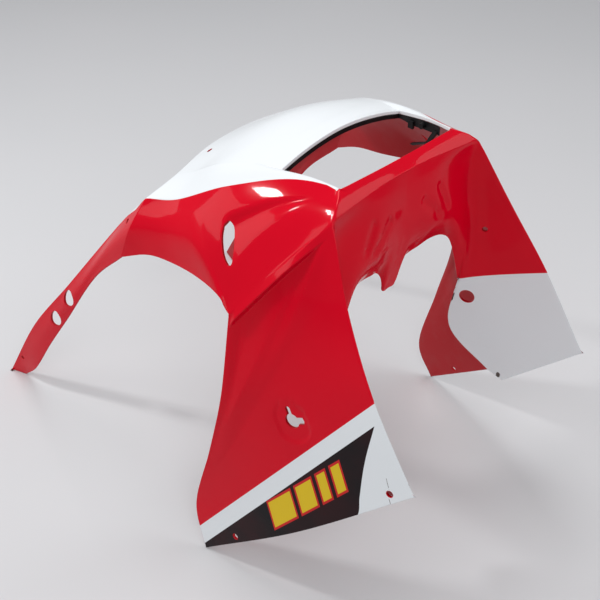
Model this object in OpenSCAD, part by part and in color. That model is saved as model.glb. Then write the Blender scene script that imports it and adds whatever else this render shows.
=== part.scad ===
// Upper front cowl of a sport motorcycle, one moulding of thin plastic.
// It stands nose up, as it is stored: +Z points to the front of the machine,
// +X points to its underside and +Y to its left flank. The two flanks mirror
// each other in the plane Y = 0.

/* [Wall] */
// Thickness of the moulded wall
wall = 3; // [2:0.25:4]
// Depth of the turned-in lip along the upper edge of the headlight opening
lip_depth = 7; // [5:0.5:14]

/* [Holes] */
// Diameter of the two mirror stay holes in each arm
mirror_hole_d = 24; // [12:0.5:28]
// Distance between the two mirror stay holes of one arm
mirror_pitch = 53; // [40:1:60]
// Diameter of the small screw holes along the screen edge
screen_hole_d = 5.5; // [4:0.5:8]
// Diameter of the screw holes along the lower edge of each flank
flank_hole_d = 6.5; // [5:0.5:9]
// Diameter of the access hole in each inner panel
access_hole_d = 16; // [10:1:20]
// Diameter of the turn signal hole in each flank
signal_hole_d = 15; // [12:1:20]
// Depth of the pad around the turn signal hole
pad_depth = 1; // [0.5:0.1:1.5]

/* [Bracket] */
// Thickness of the black bracket strip under the lip
strip_t = 2.5; // [1.5:0.25:4]
// Depth of the black bracket strip under the lip
strip_depth = 9; // [5:0.5:14]

/* [Flank] */
// Half width across the rear lower corners of the flanks
tail_half_w = 200; // [180:1:220]
// Half width across the front lower corners of the flanks
toe_half_w = 135; // [120:1:150]
// Drop of the front lower corners below the tail corners
toe_drop = 228; // [200:1:250]
// Distance of the front lower corners ahead of the tail corners
toe_reach = 225; // [200:1:250]

// Depth of the step under the shoulder crease
step_depth = 4; // [0:0.5:6]
// Height of the soft crease across the flank
crease_rise = 3; // [0:0.5:5]

// Depth of the air vent's ramp where it meets the slit
vent_depth = 7; // [0:0.5:10]

/* [Nose] */
// Half width across the two nose corners
nose_half_w = 101; // [90:1:112]
// Distance of the nose corners below the tail corners
nose_drop = 90; // [80:1:100]
// Distance of the nose corners ahead of the tail corners
nose_reach = 433; // [410:1:450]
// Half width of the headlight opening at its upper corners
light_half_w = 81; // [70:1:90]
// Height of the headlight opening along the centre line
light_h = 69; // [50:1:75]

/* [Arms] */
// Half width across the tips of the two screen arms
arm_half_w = 196; // [180:1:210]
// Rise of the arm tips above the tail corners
arm_rise = 412; // [380:1:430]

/* [Hidden] */

// Counts of the cells that each surface patch is divided into
cells_arch = 9;
cells_crease = 12;
cells_rim = 6;
cells_side = 3;
cells_nose = 16;
cells_fold = 12;
cells_web = 7;
cells_arm = 12;

// Depth of the moulded recesses, and the reach of the hole cutters
recess = wall / 2;
reach = 6;

// Gap between the lip and the bracket under it
seat_gap = 0.25;

// Point at share t of the way from a to b, moved by an offset
function via(a, b, t, off = [0, 0, 0]) = a + (b - a) * t + off;

// Corner points of the left half
tail = [0, tail_half_w, 0];
toe = [toe_drop, toe_half_w, toe_reach];
nose = [nose_drop, nose_half_w, nose_reach];
arch_end = [24, tail_half_w - 33, nose_reach - 101];
rim_mid = [4, 0, nose_reach + 18.5];
rim_corner = [6, light_half_w, nose_reach + 6];
brow = [rim_mid.x + light_h + 1, light_half_w - 5, nose_reach + 14];
brow_mid = [rim_mid.x + light_h, 0, nose_reach + 12];
crease_mid = [brow_mid.x + 10, 0, nose_reach - 1];
screen_mid = [-132, 0, nose_reach - 30];
arm_root = [-127, nose_half_w + 39, nose_reach - 57];
arm_heel = [-149, nose_half_w + 62, nose_reach - 128];
tip_out = [-arm_rise, arm_half_w, 0];
tip_in = [23 - arm_rise, arm_half_w - 9, 0];
tab_end = [nose_drop - 17, 0, nose_reach - 135];
web_top = [nose_drop - 1, nose_half_w - 5, nose_reach - 165];
web_toe = via(toe, tail, 0.33, [0, -44, 0]);

// Edges of the left half, each a list of points that a smooth curve follows
screen_edge = [
    screen_mid,
    via(screen_mid, arm_root, 0.38, [0, 0, 7]),
    via(screen_mid, arm_root, 0.74, [6, 0, 7]),
    arm_root
];
arm_outer = [
    arm_root,
    via(arm_root, tip_out, 0.16, [-3, -2, 6]),
    via(arm_root, tip_out, 0.46, [-9, 2, 8]),
    via(arm_root, tip_out, 0.73, [-6, 3, 14]),
    tip_out
];
arm_inner = [
    arm_heel,
    via(arm_heel, tip_in, 0.2, [-10, -2, 4]),
    via(arm_heel, tip_in, 0.47, [-8, 1, -2]),
    via(arm_heel, tip_in, 0.68, [1, 3, 0]),
    via(arm_heel, tip_in, 0.87, [4, 4, -5]),
    tip_in
];
arch_edge = [
    arm_heel,
    via(arm_heel, arch_end, 0.22, [1, -8, 13]),
    via(arm_heel, arch_end, 0.45, [1, -11, 15]),
    via(arm_heel, arch_end, 0.68, [3, -8, 16]),
    via(arm_heel, arch_end, 0.90, [1, -2, 13]),
    arch_end
];
tail_edge = [
    arch_end,
    via(arch_end, tail, 0.29, [5, 5, 0]),
    via(arch_end, tail, 0.55, [-8, 1, 0]),
    via(arch_end, tail, 0.84, [-24, -2, 0]),
    tail
];
lower_edge = [tail, via(tail, toe, 0.5, [3, 6, -3]), toe];
shoulder_crease = [arch_end, via(arch_end, nose, 0.5, [0, 3, 2]), nose];
front_fold = [
    nose,
    via(nose, toe, 0.3, [-6, 7, 0]),
    via(nose, toe, 0.62, [-2, 10, -3]),
    toe
];
hood_side = [
    arm_root,
    via(arm_root, brow, 0.22, [-5, 3, -2]),
    via(arm_root, brow, 0.5, [-8, 6, 9]),
    via(arm_root, brow, 0.77, [-8, 1, 10]),
    brow
];
rim = [rim_mid, via(rim_mid, rim_corner, 0.4, [0, 0, 5]), rim_corner];
nose_crease = [
    crease_mid,
    via(crease_mid, nose, 0.3, [-5, 0, -1]),
    via(crease_mid, nose, 0.6, [-7, -2, -1]),
    nose
];
web_crease = [
    nose,
    via(nose, web_top, 0.22, [-4, -4, 0]),
    via(nose, web_top, 0.66, [3, -7, 0]),
    web_top
];
wheel_edge = [
    tab_end,
    tab_end + [0, 9, 1],
    tab_end + [0, 14, 20],
    tab_end + [1, 22, 30],
    via(tab_end, web_top, 0.38, [-3, 0, 45]),
    via(tab_end, web_top, 0.57, [-6, 0, 52]),
    via(tab_end, web_top, 0.71, [-2, 0, 57]),
    via(tab_end, web_top, 0.8, [3, 0, 49]),
    web_top
];
web_edge = [
    web_top,
    via(web_top, web_toe, 0.36, [-29, -2, -29]),
    via(web_top, web_toe, 0.6, [0, 4, -38]),
    web_toe
];
// Catmull-Rom curve through a list of points, t from 0 to 1
function knot(p, k) = k < 0 ? 2 * p[0] - p[1]
    : k >= len(p) ? 2 * p[len(p) - 1] - p[len(p) - 2] : p[k];
function spline(a, b, c, d, t) = 0.5 * (2 * b + (c - a) * t + (2 * a - 5 * b + 4 * c - d) * t * t
    + (3 * b - a - 3 * c + d) * t * t * t);
function along(p, t) =
    let (s = t * (len(p) - 1), k = min(floor(s), len(p) - 2))
    spline(knot(p, k - 1), knot(p, k), knot(p, k + 1), knot(p, k + 2), s - k);

// Points at even steps along one curve, or along two curves that meet
function points(p, n) = [for (k = [0:n]) along(p, k / n)];
function chain(a, b, na, nb) = concat(points(a, na), [for (k = [1:nb]) along(b, k / nb)]);

// Surface between four edges. near and far run in u, left and right run in v,
// and the surface may lean in directions of its own along its left and right.
function blend(a, b, ta, tb, t) = (1 + 2 * t) * (1 - t) * (1 - t) * a + t * t * (3 - 2 * t) * b
    + t * (1 - t) * (1 - t) * ta - t * t * (1 - t) * tb;
function patch(near, far, left, right, lean_l = [], lean_r = [], us = [], vs = []) =
    let (m = len(near) - 1, n = len(left) - 1,
         tl = [for (j = [0:n]) len(lean_l) > 0 ? lean_l[j] : right[j] - left[j]],
         tr = [for (j = [0:n]) len(lean_r) > 0 ? lean_r[j] : right[j] - left[j]])
    [for (i = [0:m]) let (u = len(us) > 0 ? us[i] : i / m,
        h = [for (j = [0:n]) blend(left[j], right[j], tl[j], tr[j], u)])
        [for (j = [0:n]) let (v = len(vs) > 0 ? vs[j] : j / n)
            h[j] + (1 - v) * (near[i] - h[0]) + v * (far[i] - h[n])]];

// Direction in which the surface crosses from the hood to the shoulder
function side_dir(t) = via([-0.15, 0.72, -0.7], [0.4, 0.8, -0.45], t);

// Lines of points that neighbouring patches share
cells_long = cells_arch + cells_crease;
mid_line = points([screen_mid, via(screen_mid, rim_mid, 0.48, [0, 0, 14]),
    via(screen_mid, rim_mid, 0.85, [0, 0, 7]), rim_mid], cells_long);
hood_line = points(hood_side, cells_long);
outer_line = chain(arch_edge, shoulder_crease, cells_arch, cells_crease);
rim_line = chain(rim, [rim_corner, via(rim_corner, brow, 0.5, [0, 0, 2]), brow],
    cells_rim, cells_side);
// Rows of the shoulder, closer where the ramp of the air vent has its edge
band_t = [0, 0.13, 0.25, 0.32, 0.42, 0.54, 0.72, 1];
root_line = [for (t = band_t)
    along([arm_root, via(arm_root, arm_heel, 0.5, [3, 6, 4]), arm_heel], t)];
brow_end = [for (t = band_t) along([brow, via(brow, nose, 0.5, [1, 1, 1]), nose], t)];

hood = patch(points(screen_edge, cells_rim + cells_side), rim_line, mid_line, hood_line,
    [for (j = [0:cells_long]) [0, norm(hood_line[j] - mid_line[j]), 0]],
    [for (j = [0:cells_long]) norm(hood_line[j] - mid_line[j]) * side_dir(j / cells_long)]);
shoulder_plain = patch(root_line, brow_end, hood_line, outer_line,
    [for (j = [0:cells_long]) norm(outer_line[j] - hood_line[j]) * side_dir(j / cells_long)],
    us = band_t);
// The ramp of the air vent sinks from its point beside the nose to the slit
vent_v = 0.525;
ramp_v = 0.89;
function vent_ramp(u, v) =
    let (t = (v - vent_v) / (ramp_v - vent_v), low = 0.3 - 0.05 * t, high = 0.72 - 0.4 * t)
    v < vent_v || v > ramp_v || u < low || u > high ? 0
    : vent_depth * (1 - t) * min(1, 1.15 * (high - u) / (high - low));
shoulder = [for (i = [0:len(band_t) - 1]) [for (j = [0:cells_long])
    shoulder_plain[i][j] - vent_ramp(band_t[i], j / cells_long) * [0.1, 0.75, 0.65]]];
arm = patch(root_line, [for (t = band_t) via(tip_out, tip_in, t)],
    points(arm_outer, cells_arm), points(arm_inner, cells_arm), us = band_t);
ridge = patch(points([brow_mid, brow], cells_nose), points(nose_crease, cells_nose),
    [for (t = band_t) via(brow_mid, crease_mid, t)], brow_end, vs = band_t);
// Rows of the flank: two close ones make the step under the shoulder crease
fold_t = concat([0, 0.035, 0.052], [for (k = [1:cells_fold]) 0.052 + 0.948 * k / cells_fold]);
flank_plain = patch(points(shoulder_crease, cells_crease), points(lower_edge, cells_crease),
    [for (t = fold_t) along(tail_edge, t)], [for (t = fold_t) along(front_fold, t)], vs = fold_t);
// Shallow pocket under the step that narrows to a point beside the nose, and
// the soft crease that runs from there down to the tail edge
function pocket(u, v) = step_depth * ramp(0.03, 0.14, u) * ramp(0.92, 0.74, u + 1.6 * (v - 0.05))
    * ramp(0.036, 0.05, v) * ramp(0.42, 0.06, v);
function crease_v(u) = 0.5 - 0.95 * u + 0.5 * u * u;
function crease_h(u, v) = crease_rise * ramp(0.02, 0.2, u) * ramp(0.95, 0.7, u)
    * max(0, 1 - abs(v - crease_v(u)) / 0.2);
flank = [for (i = [0:cells_crease]) [for (j = [0:len(fold_t) - 1])
    let (u = i / cells_crease, v = fold_t[j], inside = v > 0 && v < 1 && u > 0 && u < 1)
    flank_plain[i][j] + (inside ? crease_h(u, v) - pocket(u, v) : 0) * [0.2, 0.95, 0.2]]];
web = patch([for (t = fold_t) along(front_fold, t)], [for (t = fold_t) along(web_edge, t)],
    points(web_crease, cells_web), points([toe, web_toe], cells_web), us = fold_t);
lip = [for (i = [0:cells_rim + cells_side])
    let (t = max(0, i - cells_rim) / cells_side,
         deep = rim_line[i] + lip_depth * [0.15 + 0.2 * t, -0.1 * i / cells_rim, 0.7 * t - 1])
    [for (k = [0, 0.5, 1]) via(rim_line[i], deep, k)]];
// Move the inner points of a patch by bulge(u, v)
function bumped(g, bulge) =
    let (m = len(g) - 1, n = len(g[0]) - 1)
    [for (i = [0:m]) [for (j = [0:n])
        g[i][j] + (on_rim(g, i, j) ? [0, 0, 0] : bulge(i / m, j / n))]];
function ramp(a, b, t) = let (x = max(0, min(1, (t - a) / (b - a)))) x * x * (3 - 2 * x);
belly = bumped(patch(points(nose_crease, cells_nose), points(wheel_edge, cells_nose),
    points([crease_mid, via(crease_mid, tab_end, 0.18, [16, 0, 0]),
        via(crease_mid, tab_end, 0.46, [11, 0, 0]), via(crease_mid, tab_end, 0.74, [6, 0, 0]),
        tab_end], cells_web),
    points(web_crease, cells_web)),
    function(u, v) [9 * 16 * u * (1 - u) * v * (1 - v), 0, 0]);

// Every patch with the direction in which its visible face looks
patches = [
    [hood, [0, 0, 1]],
    [shoulder, [0, 1, 1]],
    [arm, [0, 1, 0]],
    [ridge, [1, 0, 1]],
    [belly, [1, 0, -0.3]],
    [flank, [0, 1, 0]],
    [web, [0.2, -1, 0]],
    [lip, [1, 0, 0]]
];

// Unit normal of a grid of points at one of its points
function unit(v) = v / norm(v);
function facing(g, i, j) =
    let (m = len(g) - 1, n = len(g[0]) - 1, middle = abs(g[i][j].y) < 0.001,
         across = middle ? [0, 1, 0] : g[min(i + 1, m)][j] - g[max(i - 1, 0)][j])
    unit(cross(across, g[i][min(j + 1, n)] - g[i][max(j - 1, 0)]));
// 1 where the grid's own normal looks out of the visible face, or else -1
function handed(g, look) = sign(facing(g, floor(len(g) / 2), floor(len(g[0]) / 2)) * look);
function on_rim(g, i, j) = i == 0 || j == 0 || i == len(g) - 1 || j == len(g[0]) - 1;

// Inner face: each point goes in by the wall, and where patches meet it goes
// along the mean of their normals, far enough to keep the wall on each side
function rims(ps) = [for (p = ps) let (g = p[0], s = handed(g, p[1]))
    for (i = [0:len(g) - 1]) for (j = [0:len(g[0]) - 1])
        if (on_rim(g, i, j)) [g[i][j], s * facing(g, i, j)]];
function meeting(q, all) = concat([for (e = all) if (norm(e[0] - q) < 0.001) e[1]],
    abs(q.y) < 0.001 ? [for (e = all) if (norm(e[0] - q) < 0.001) [e[1].x, -e[1].y, e[1].z]] : []);
function total(ns, k = 0) = k == len(ns) - 1 ? ns[k] : ns[k] + total(ns, k + 1);
function inner(p, all) = let (g = p[0], s = handed(g, p[1]))
    [for (i = [0:len(g) - 1]) [for (j = [0:len(g[0]) - 1])
        inward(g[i][j], on_rim(g, i, j) ? meeting(g[i][j], all) : [s * facing(g, i, j)])]];
function inward(q, ns) = let (m = unit(total(ns)))
    q - m * wall / max(0.45, min([for (n = ns) n * m]));

// Triangles of one grid of points whose first point has number base
function sheet(g, base, flip) =
    let (n = len(g[0]))
    [for (i = [0:len(g) - 2]) for (j = [0:n - 2])
        let (a = base + i * n + j, b = a + n, c = b + 1, d = a + 1)
        each flip ? [[a, b, c], [a, c, d]] : [[a, c, b], [a, d, c]]];
// Triangles that close the wall along a run of points, outer ones first
function edge_band(run, step, flip) = [for (k = [0:len(run) - 2])
    let (a = run[k], b = run[k + 1], c = b + step, d = a + step)
    each flip ? [[a, b, c], [a, c, d]] : [[a, c, b], [a, d, c]]];

// Free edges of a patch, named by its side
function run(g, side, first, last, base) =
    let (m = len(g), n = len(g[0]))
    side == "near" ? [for (i = [0:m - 1]) base + i * n]
    : side == "far" ? [for (i = [m - 1:-1:0]) base + i * n + n - 1]
    : side == "left" ? [for (j = [n - 1:-1:0]) base + j]
    : [for (j = [first:last < 0 ? n - 1 : last]) base + (m - 1) * n + j];
free_edges = [
    [["near", 0, -1]],
    [["right", 0, cells_arch]],
    [["left", 0, -1], ["far", 0, -1], ["right", 0, -1]],
    [["near", 0, -1]],
    [["far", 0, -1]],
    [["far", 0, -1], ["left", 0, -1]],
    [["far", 0, -1], ["right", 0, -1]],
    [["right", 0, -1], ["far", 0, -1]]
];

// One half as [points, triangles], the right one as the mirror image
function flat_points(g) = [for (r = g) each r];
function starts(gs, k = 0, at = 0) = k == len(gs) ? [at]
    : concat([at], starts(gs, k + 1, at + len(gs[k]) * len(gs[k][0])));
// For each outer point of a half, the first outer point that lies at its place
function merged(gs, at) =
    let (seam = [for (k = [0:len(gs) - 1]) let (g = gs[k], n = len(g[0]))
        for (i = [0:len(g) - 1]) for (j = [0:n - 1])
            if (on_rim(g, i, j)) [g[i][j], at[k] + i * n + j]])
    [for (k = [0:len(gs) - 1]) let (g = gs[k], n = len(g[0]))
        for (i = [0:len(g) - 1]) for (j = [0:n - 1])
            on_rim(g, i, j) ? [for (e = seam) if (norm(e[0] - g[i][j]) < 0.001) e[1]][0]
            : at[k] + i * n + j];
// Number that a point keeps once the points at one place are one point
function kept(k, count, first, verts) =
    let (right = k >= 2 * count, r = right ? k - 2 * count : k, layer = r >= count ? count : 0,
         o = first[r - layer], shared = abs(verts[o].y) < 0.001)
    (right && !shared ? 2 * count : 0) + layer + o;
function half(mirrored) =
    let (ps = patches, all = rims(ps),
         outs = [for (p = ps) p[0]], ins = [for (p = ps) inner(p, all)],
         at = starts(outs), count = at[len(outs)],
         verts = concat([for (g = outs) each flat_points(g)], [for (g = ins) each flat_points(g)]),
         tris = [for (k = [0:len(outs) - 1])
            let (g = outs[k], s = handed(g, ps[k][1]) > 0)
            each concat(sheet(g, at[k], !s), sheet(g, at[k] + count, s),
                [for (f = free_edges[k]) each edge_band(run(g, f[0], f[1], f[2], at[k]), count, s)])])
    [[for (v = verts) mirrored ? [v.x, -v.y, v.z] : v],
     [for (t = tris) mirrored ? [t[0], t[2], t[1]] : t], merged(outs, at)];

left_half = half(false);
right_half = half(true);

// Move that sets the part on the ground, centred over the origin of its frame
function lowest(k) = min([for (v = left_half[0]) v[k]]);
function highest(k) = max([for (v = left_half[0]) v[k]]);
datum = [-(lowest(0) + highest(0)) / 2, 0, -lowest(2)];

module shell() {
    n = len(left_half[0]);
    tris = concat(left_half[1], [for (t = right_half[1]) t + [n, n, n]]);
    polyhedron(concat(left_half[0], right_half[0]),
        [for (t = tris) [for (k = t) kept(k, n / 2, left_half[2], left_half[0])]]);
}

// Point of a patch at shares u and v of its width and length, and the normal
// there. A patch whose rows aren't even gives the shares of its rows in us or vs.
function even(n) = [for (k = [0:n]) k / n];
function cell(ts, t) = let (k = len([for (x = ts) if (x <= t) x]) - 1) min(k, len(ts) - 2);
function spot(g, u, v, us = [], vs = []) =
    let (a = len(us) > 0 ? us : even(len(g) - 1), b = len(vs) > 0 ? vs : even(len(g[0]) - 1),
         i = cell(a, u), j = cell(b, v),
         x = (u - a[i]) / (a[i + 1] - a[i]), y = (v - b[j]) / (b[j + 1] - b[j]))
    via(via(g[i][j], g[i + 1][j], x), via(g[i][j + 1], g[i + 1][j + 1], x), y);
function spot_dir(g, u, v, us = [], vs = []) =
    unit(cross(spot(g, u + 0.04, v, us, vs) - spot(g, u - 0.04, v, us, vs),
        spot(g, u, v + 0.04, us, vs) - spot(g, u, v - 0.04, us, vs)));
// Part of direction n that is square to direction d
function square_to(n, d) = unit(n - d * (n * d) / (d * d));

// Centres of the hole pairs on the left half, each with the axis they share
mirror_c = spot(arm, 0.546, 0.485, us = band_t);
mirror_along = unit(spot(arm, 0.593, 0.532, us = band_t) - spot(arm, 0.5, 0.437, us = band_t));
mirror_axis = square_to(spot_dir(arm, 0.546, 0.485, us = band_t), mirror_along);
mirror_a = mirror_c + mirror_along * mirror_pitch / 2;
mirror_b = mirror_c - mirror_along * mirror_pitch / 2;
screen_tip = spot(arm, 0.283, 0.898, us = band_t);
screen_side = spot(arm, 0.209, 0.096, us = band_t);
screen_axis = square_to(spot_dir(arm, 0.25, 0.5, us = band_t), screen_tip - screen_side);
screen_front = spot(hood, 0.42, 0.1);
screen_front_axis = unit([-0.35, 0, 0.94]);
flank_a = spot(flank, 0.19, 0.966, vs = fold_t);
flank_b = spot(flank, 0.917, 0.964, vs = fold_t);
flank_axis = square_to(spot_dir(flank, 0.5, 0.94, vs = fold_t), flank_b - flank_a);
signal_c = spot(flank, 0.599, 0.579, vs = fold_t);
signal_axis = spot_dir(flank, 0.599, 0.579, vs = fold_t);
access_c = spot(web, 0.355, 0.695, us = fold_t);
access_axis = spot_dir(web, 0.355, 0.695, us = fold_t);
peg_c = spot(web, 0.302, 0.327, us = fold_t);
vent_top = spot(shoulder_plain, 0.351, 0.533, us = band_t);
vent_end = spot(shoulder_plain, 0.684, 0.494, us = band_t);
vent_axis = square_to(spot_dir(shoulder_plain, 0.5, 0.52, us = band_t), vent_end - vent_top);
slot_top = spot(belly, 0.49, 0.41);
slot_mid = spot(belly, 0.48, 0.48);
slot_end = spot(belly, 0.49, 0.55);
slot_dir = [0.95, 0.25, -0.15];

// Places its children at p with their Z along dir and their X towards side
module aimed(p, dir, side = [0, 0, 1]) {
    x = square_to(side, dir);
    y = cross(dir, x);
    multmatrix([
        [x.x, y.x, dir.x, p.x],
        [x.y, y.y, dir.y, p.y],
        [x.z, y.z, dir.z, p.z]
    ]) children();
}
module bore(p, dir, d) {
    aimed(p, unit(dir)) cylinder(d = d, h = 2 * reach, center = true, $fn = 32);
}
// Slot with round ends from p to q, cut to a depth below them
module groove(p, q, dir, width, depth) {
    aimed(p, square_to(dir, q - p), q - p) translate([0, 0, -depth]) {
        cylinder(d = width, h = depth + reach, $fn = 24);
        translate([norm(q - p), 0, 0]) cylinder(d = width, h = depth + reach, $fn = 24);
        translate([0, -width / 2, 0]) cube([norm(q - p), width, depth + reach]);
    }
}

// Air vent in the shoulder: a slit with a straight and a bowed side
module vent() {
    len_v = norm(vent_end - vent_top);
    aimed(vent_top, vent_axis, vent_end - vent_top)
        linear_extrude(height = 4 * reach, center = true)
            polygon([
                [0, 0],
                [len_v * 0.2, -5],
                [len_v * 0.5, -5],
                [len_v * 0.97, -3],
                [len_v, 1],
                [len_v * 0.72, 6],
                [len_v * 0.4, 6]
            ]);
}
// Turn signal hole: a round opening with a key slot and a wider lobe, in a
// shallow pad
module signal_hole() {
    slot_w = signal_hole_d * 0.35;
    lobe_w = signal_hole_d * 0.5;
    aimed(signal_c, signal_axis, [-0.5, 0, 0.85]) {
        cylinder(d = signal_hole_d, h = 2 * reach, center = true, $fn = 40);
        translate([signal_hole_d / 2, 0, 0]) cube([signal_hole_d, slot_w, 2 * reach], center = true);
        rotate([0, 0, 85]) translate([signal_hole_d / 2, 0, 0])
            cube([signal_hole_d * 0.8, lobe_w, 2 * reach], center = true);
        translate([0, 0, -pad_depth]) intersection() {
            cylinder(d = 2.8 * signal_hole_d, h = reach, $fn = 48);
            translate([-1.1, -1.1, 0] * signal_hole_d) cube([2.4 * signal_hole_d, 2.2 * signal_hole_d, reach]);
        }
    }
}
module half_cuts() {
    bore(mirror_a, mirror_axis, mirror_hole_d);
    bore(mirror_b, mirror_axis, mirror_hole_d);
    bore(screen_tip, screen_axis, screen_hole_d);
    bore(screen_side, screen_axis, screen_hole_d);
    bore(screen_front, screen_front_axis, screen_hole_d);
    bore(flank_a, flank_axis, flank_hole_d);
    bore(flank_b, flank_axis, flank_hole_d);
    bore(access_c, access_axis, access_hole_d);
    bore(peg_c, access_axis, screen_hole_d);
    signal_hole();
    vent();
    groove(slot_top, slot_mid, slot_dir, 5, recess);
    groove(slot_mid, slot_end, slot_dir, 5, recess);
}

module upper_cowl() {
    color("crimson") translate(datum) difference() {
        shell();
        half_cuts();
        mirror([0, 1, 0]) half_cuts();
    }
}

// Solid through cross-sections that all have the same number of points
module loft(sections) {
    n = len(sections[0]);
    last = (len(sections) - 1) * n;
    polyhedron([for (c = sections) each c], concat(
        [for (i = [0:len(sections) - 2]) for (k = [0:n - 1])
            let (a = i * n + k, b = i * n + (k + 1) % n) each [[a, b, b + n], [a, b + n, a + n]]],
        [for (k = [1:n - 2]) [0, k + 1, k]],
        [for (k = [1:n - 2]) [last, last + k, last + k + 1]]));
}
// Cross-section of the strip under point i of the lip, on either half
function strip_section(i) =
    let (e = lip[abs(i)][2], back = unit([-1, 0.6 * abs(i) / (cells_rim + cells_side), 0]),
         side = i < 0 ? -1 : 1,
         top = e - [0, 0, seat_gap], out = top + strip_t * back,
         low = [0, 0, -strip_depth])
    [for (q = [top, out, out + low, top + low]) [q.x, side * q.y, q.z]];

// Ear at one end of the bracket, where the lamp hooks in
module bracket_ear() {
    lug = [6, 3, 8];
    hook_top = lip[cells_rim + cells_side - 1][2] + [-1, 0.5, 1 - strip_depth];
    hook_low = hook_top - [6, 6, 12];
    translate(lip[cells_rim + 1][2] - [2, 2.4, strip_depth + 2]) cube(lug);
    translate(lip[cells_rim + 2][2] + [-0.5, 0.6, -strip_depth / 2])
        rotate([90, 0, 0]) cylinder(d = 6, h = 5, $fn = 24);
    hull() {
        translate(hook_top) cube([5, 3, 4], center = true);
        translate(hook_low) cube([4, 3, 3], center = true);
    }
    hull() {
        translate(hook_low) cube([4, 3, 3], center = true);
        translate(hook_low - [14, 3, 3]) cube([4, 5, 2], center = true);
    }
}
module headlight_bracket() {
    ends = cells_rim + cells_side - 1;
    color("#161616") translate(datum) {
        loft([for (i = [-ends:ends]) strip_section(i)]);
        bracket_ear();
        mirror([0, 1, 0]) bracket_ear();
    }
}

upper_cowl();
headlight_bracket();
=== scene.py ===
"""Looks of the upper front cowl of a sport motorcycle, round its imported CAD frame.

The cowl is drawn as in the part's source: smooth patches between named edge curves, here
with finer cells, rounded creases and rolled edges. Points are in millimetres in the
drawing's own frame, where the rear corners of the flanks stand at X = 0, Z = 0. DATUM is
where the CAD sets that frame, and every mesh is made in metres in the row's frame.
"""

import bpy
import numpy as np
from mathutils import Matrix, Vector, kdtree
from mathutils.bvhtree import BVHTree
from mathutils.geometry import delaunay_2d_cdt
from mathutils.interpolate import poly_3d_calc


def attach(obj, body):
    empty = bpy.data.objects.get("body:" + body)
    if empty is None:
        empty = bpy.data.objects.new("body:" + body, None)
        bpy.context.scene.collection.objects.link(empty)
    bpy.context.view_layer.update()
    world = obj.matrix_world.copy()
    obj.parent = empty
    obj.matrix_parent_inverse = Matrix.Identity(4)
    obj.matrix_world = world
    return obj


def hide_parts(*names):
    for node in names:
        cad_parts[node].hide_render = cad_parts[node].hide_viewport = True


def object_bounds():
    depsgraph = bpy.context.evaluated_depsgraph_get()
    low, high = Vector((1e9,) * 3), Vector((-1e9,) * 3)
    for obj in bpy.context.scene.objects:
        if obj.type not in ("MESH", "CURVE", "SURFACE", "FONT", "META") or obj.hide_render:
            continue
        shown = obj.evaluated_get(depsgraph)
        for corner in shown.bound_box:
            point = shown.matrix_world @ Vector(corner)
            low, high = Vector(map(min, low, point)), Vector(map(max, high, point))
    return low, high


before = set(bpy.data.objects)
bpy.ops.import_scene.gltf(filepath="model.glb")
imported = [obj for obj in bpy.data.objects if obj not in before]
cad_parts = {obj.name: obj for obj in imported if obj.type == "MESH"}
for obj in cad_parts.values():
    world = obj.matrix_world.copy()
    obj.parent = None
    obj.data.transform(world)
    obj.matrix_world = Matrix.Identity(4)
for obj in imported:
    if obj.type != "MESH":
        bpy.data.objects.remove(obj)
cad_low, cad_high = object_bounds()

MM = 0.001
DATUM = np.array([92.54, 0.0, 0.52])
INSIDE_BOX = np.array(cad_low) / MM - DATUM + 0.02, np.array(cad_high) / MM - DATUM - 0.02


def P(*xyz):
    return np.array(xyz, float)


def row(p):
    """A place of the drawing, in metres in the row's frame."""
    return (np.asarray(p, float) + DATUM) * MM


def unit(v):
    v = np.asarray(v, float)
    return v / np.maximum(np.linalg.norm(v, axis=-1, keepdims=True), 1e-12)


def smooth(a, b, t):
    """0 at a, 1 at b, with a soft start and end."""
    x = np.clip((t - a) / (b - a), 0, 1)
    return x * x * (3 - 2 * x)


def via(a, b, t, off=(0, 0, 0)):
    """Point at share t of the way from a to b, moved by an offset."""
    return a + (b - a) * t + np.array(off, float)


# ---------------------------------------------------------------- sizes of the drawing
WALL, THINNEST, THIN_SLOPE = 3.0, 0.6, 0.3
LIP_DEPTH, VENT_DEPTH, PAD_DEPTH = 3.0, 7.0, 1.2
STEP_DEPTH, BEVEL_RISE, CREASE_RISE = 3.0, 4.5, 3.0
SCREEN_HOLE_D, FLANK_HOLE_D, ACCESS_HOLE_D, SIGNAL_HOLE_D = 5.5, 6.5, 16.0, 15.0
MIRROR_PITCH, MIRROR_OVAL, MIRROR_SHIFT = 53.0, (25.0, 17.5), 1.6
SCOOP_DEPTH, SCOOP_FLOOR, SCOOP_REACH = 2.4, 1.0, 4.6
STRIP_T, STRIP_DEPTH, STRIP_CORNER, STRIP_END, SEAT_GAP = 2.5, 9.0, 0.5, 0.94, 0.25

# Corner points of the left half
TAIL, TOE, NOSE = P(0, 200, 0), P(228, 135, 225), P(90, 101, 433)
ARCH_END = P(24, 167, 332)
RIM_MID, RIM_CORNER = P(4, 0, 451.5), P(6, 81, 439)
BROW, BROW_MID, CREASE_MID = P(74, 76, 447), P(73, 0, 445), P(84, 0, 437)
SCREEN_MID, ARM_ROOT, ARM_HEEL = P(-132, 0, 403), P(-127, 140, 376), P(-149, 163, 305)
TIP_OUT, TIP_IN = P(-412, 196, 0), P(-389, 187, 0)
TAB_END, WEB_TOP = P(73, 0, 298), P(89, 96, 268)
WEB_TOE = via(TOE, TAIL, 0.33, (0, -44, 0))


def edge(start, end, *stops):
    """Points from start to end, each stop with its share of the way and its offset."""
    return [start, *(via(start, end, t, offset) for t, *offset in stops), end]


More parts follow.
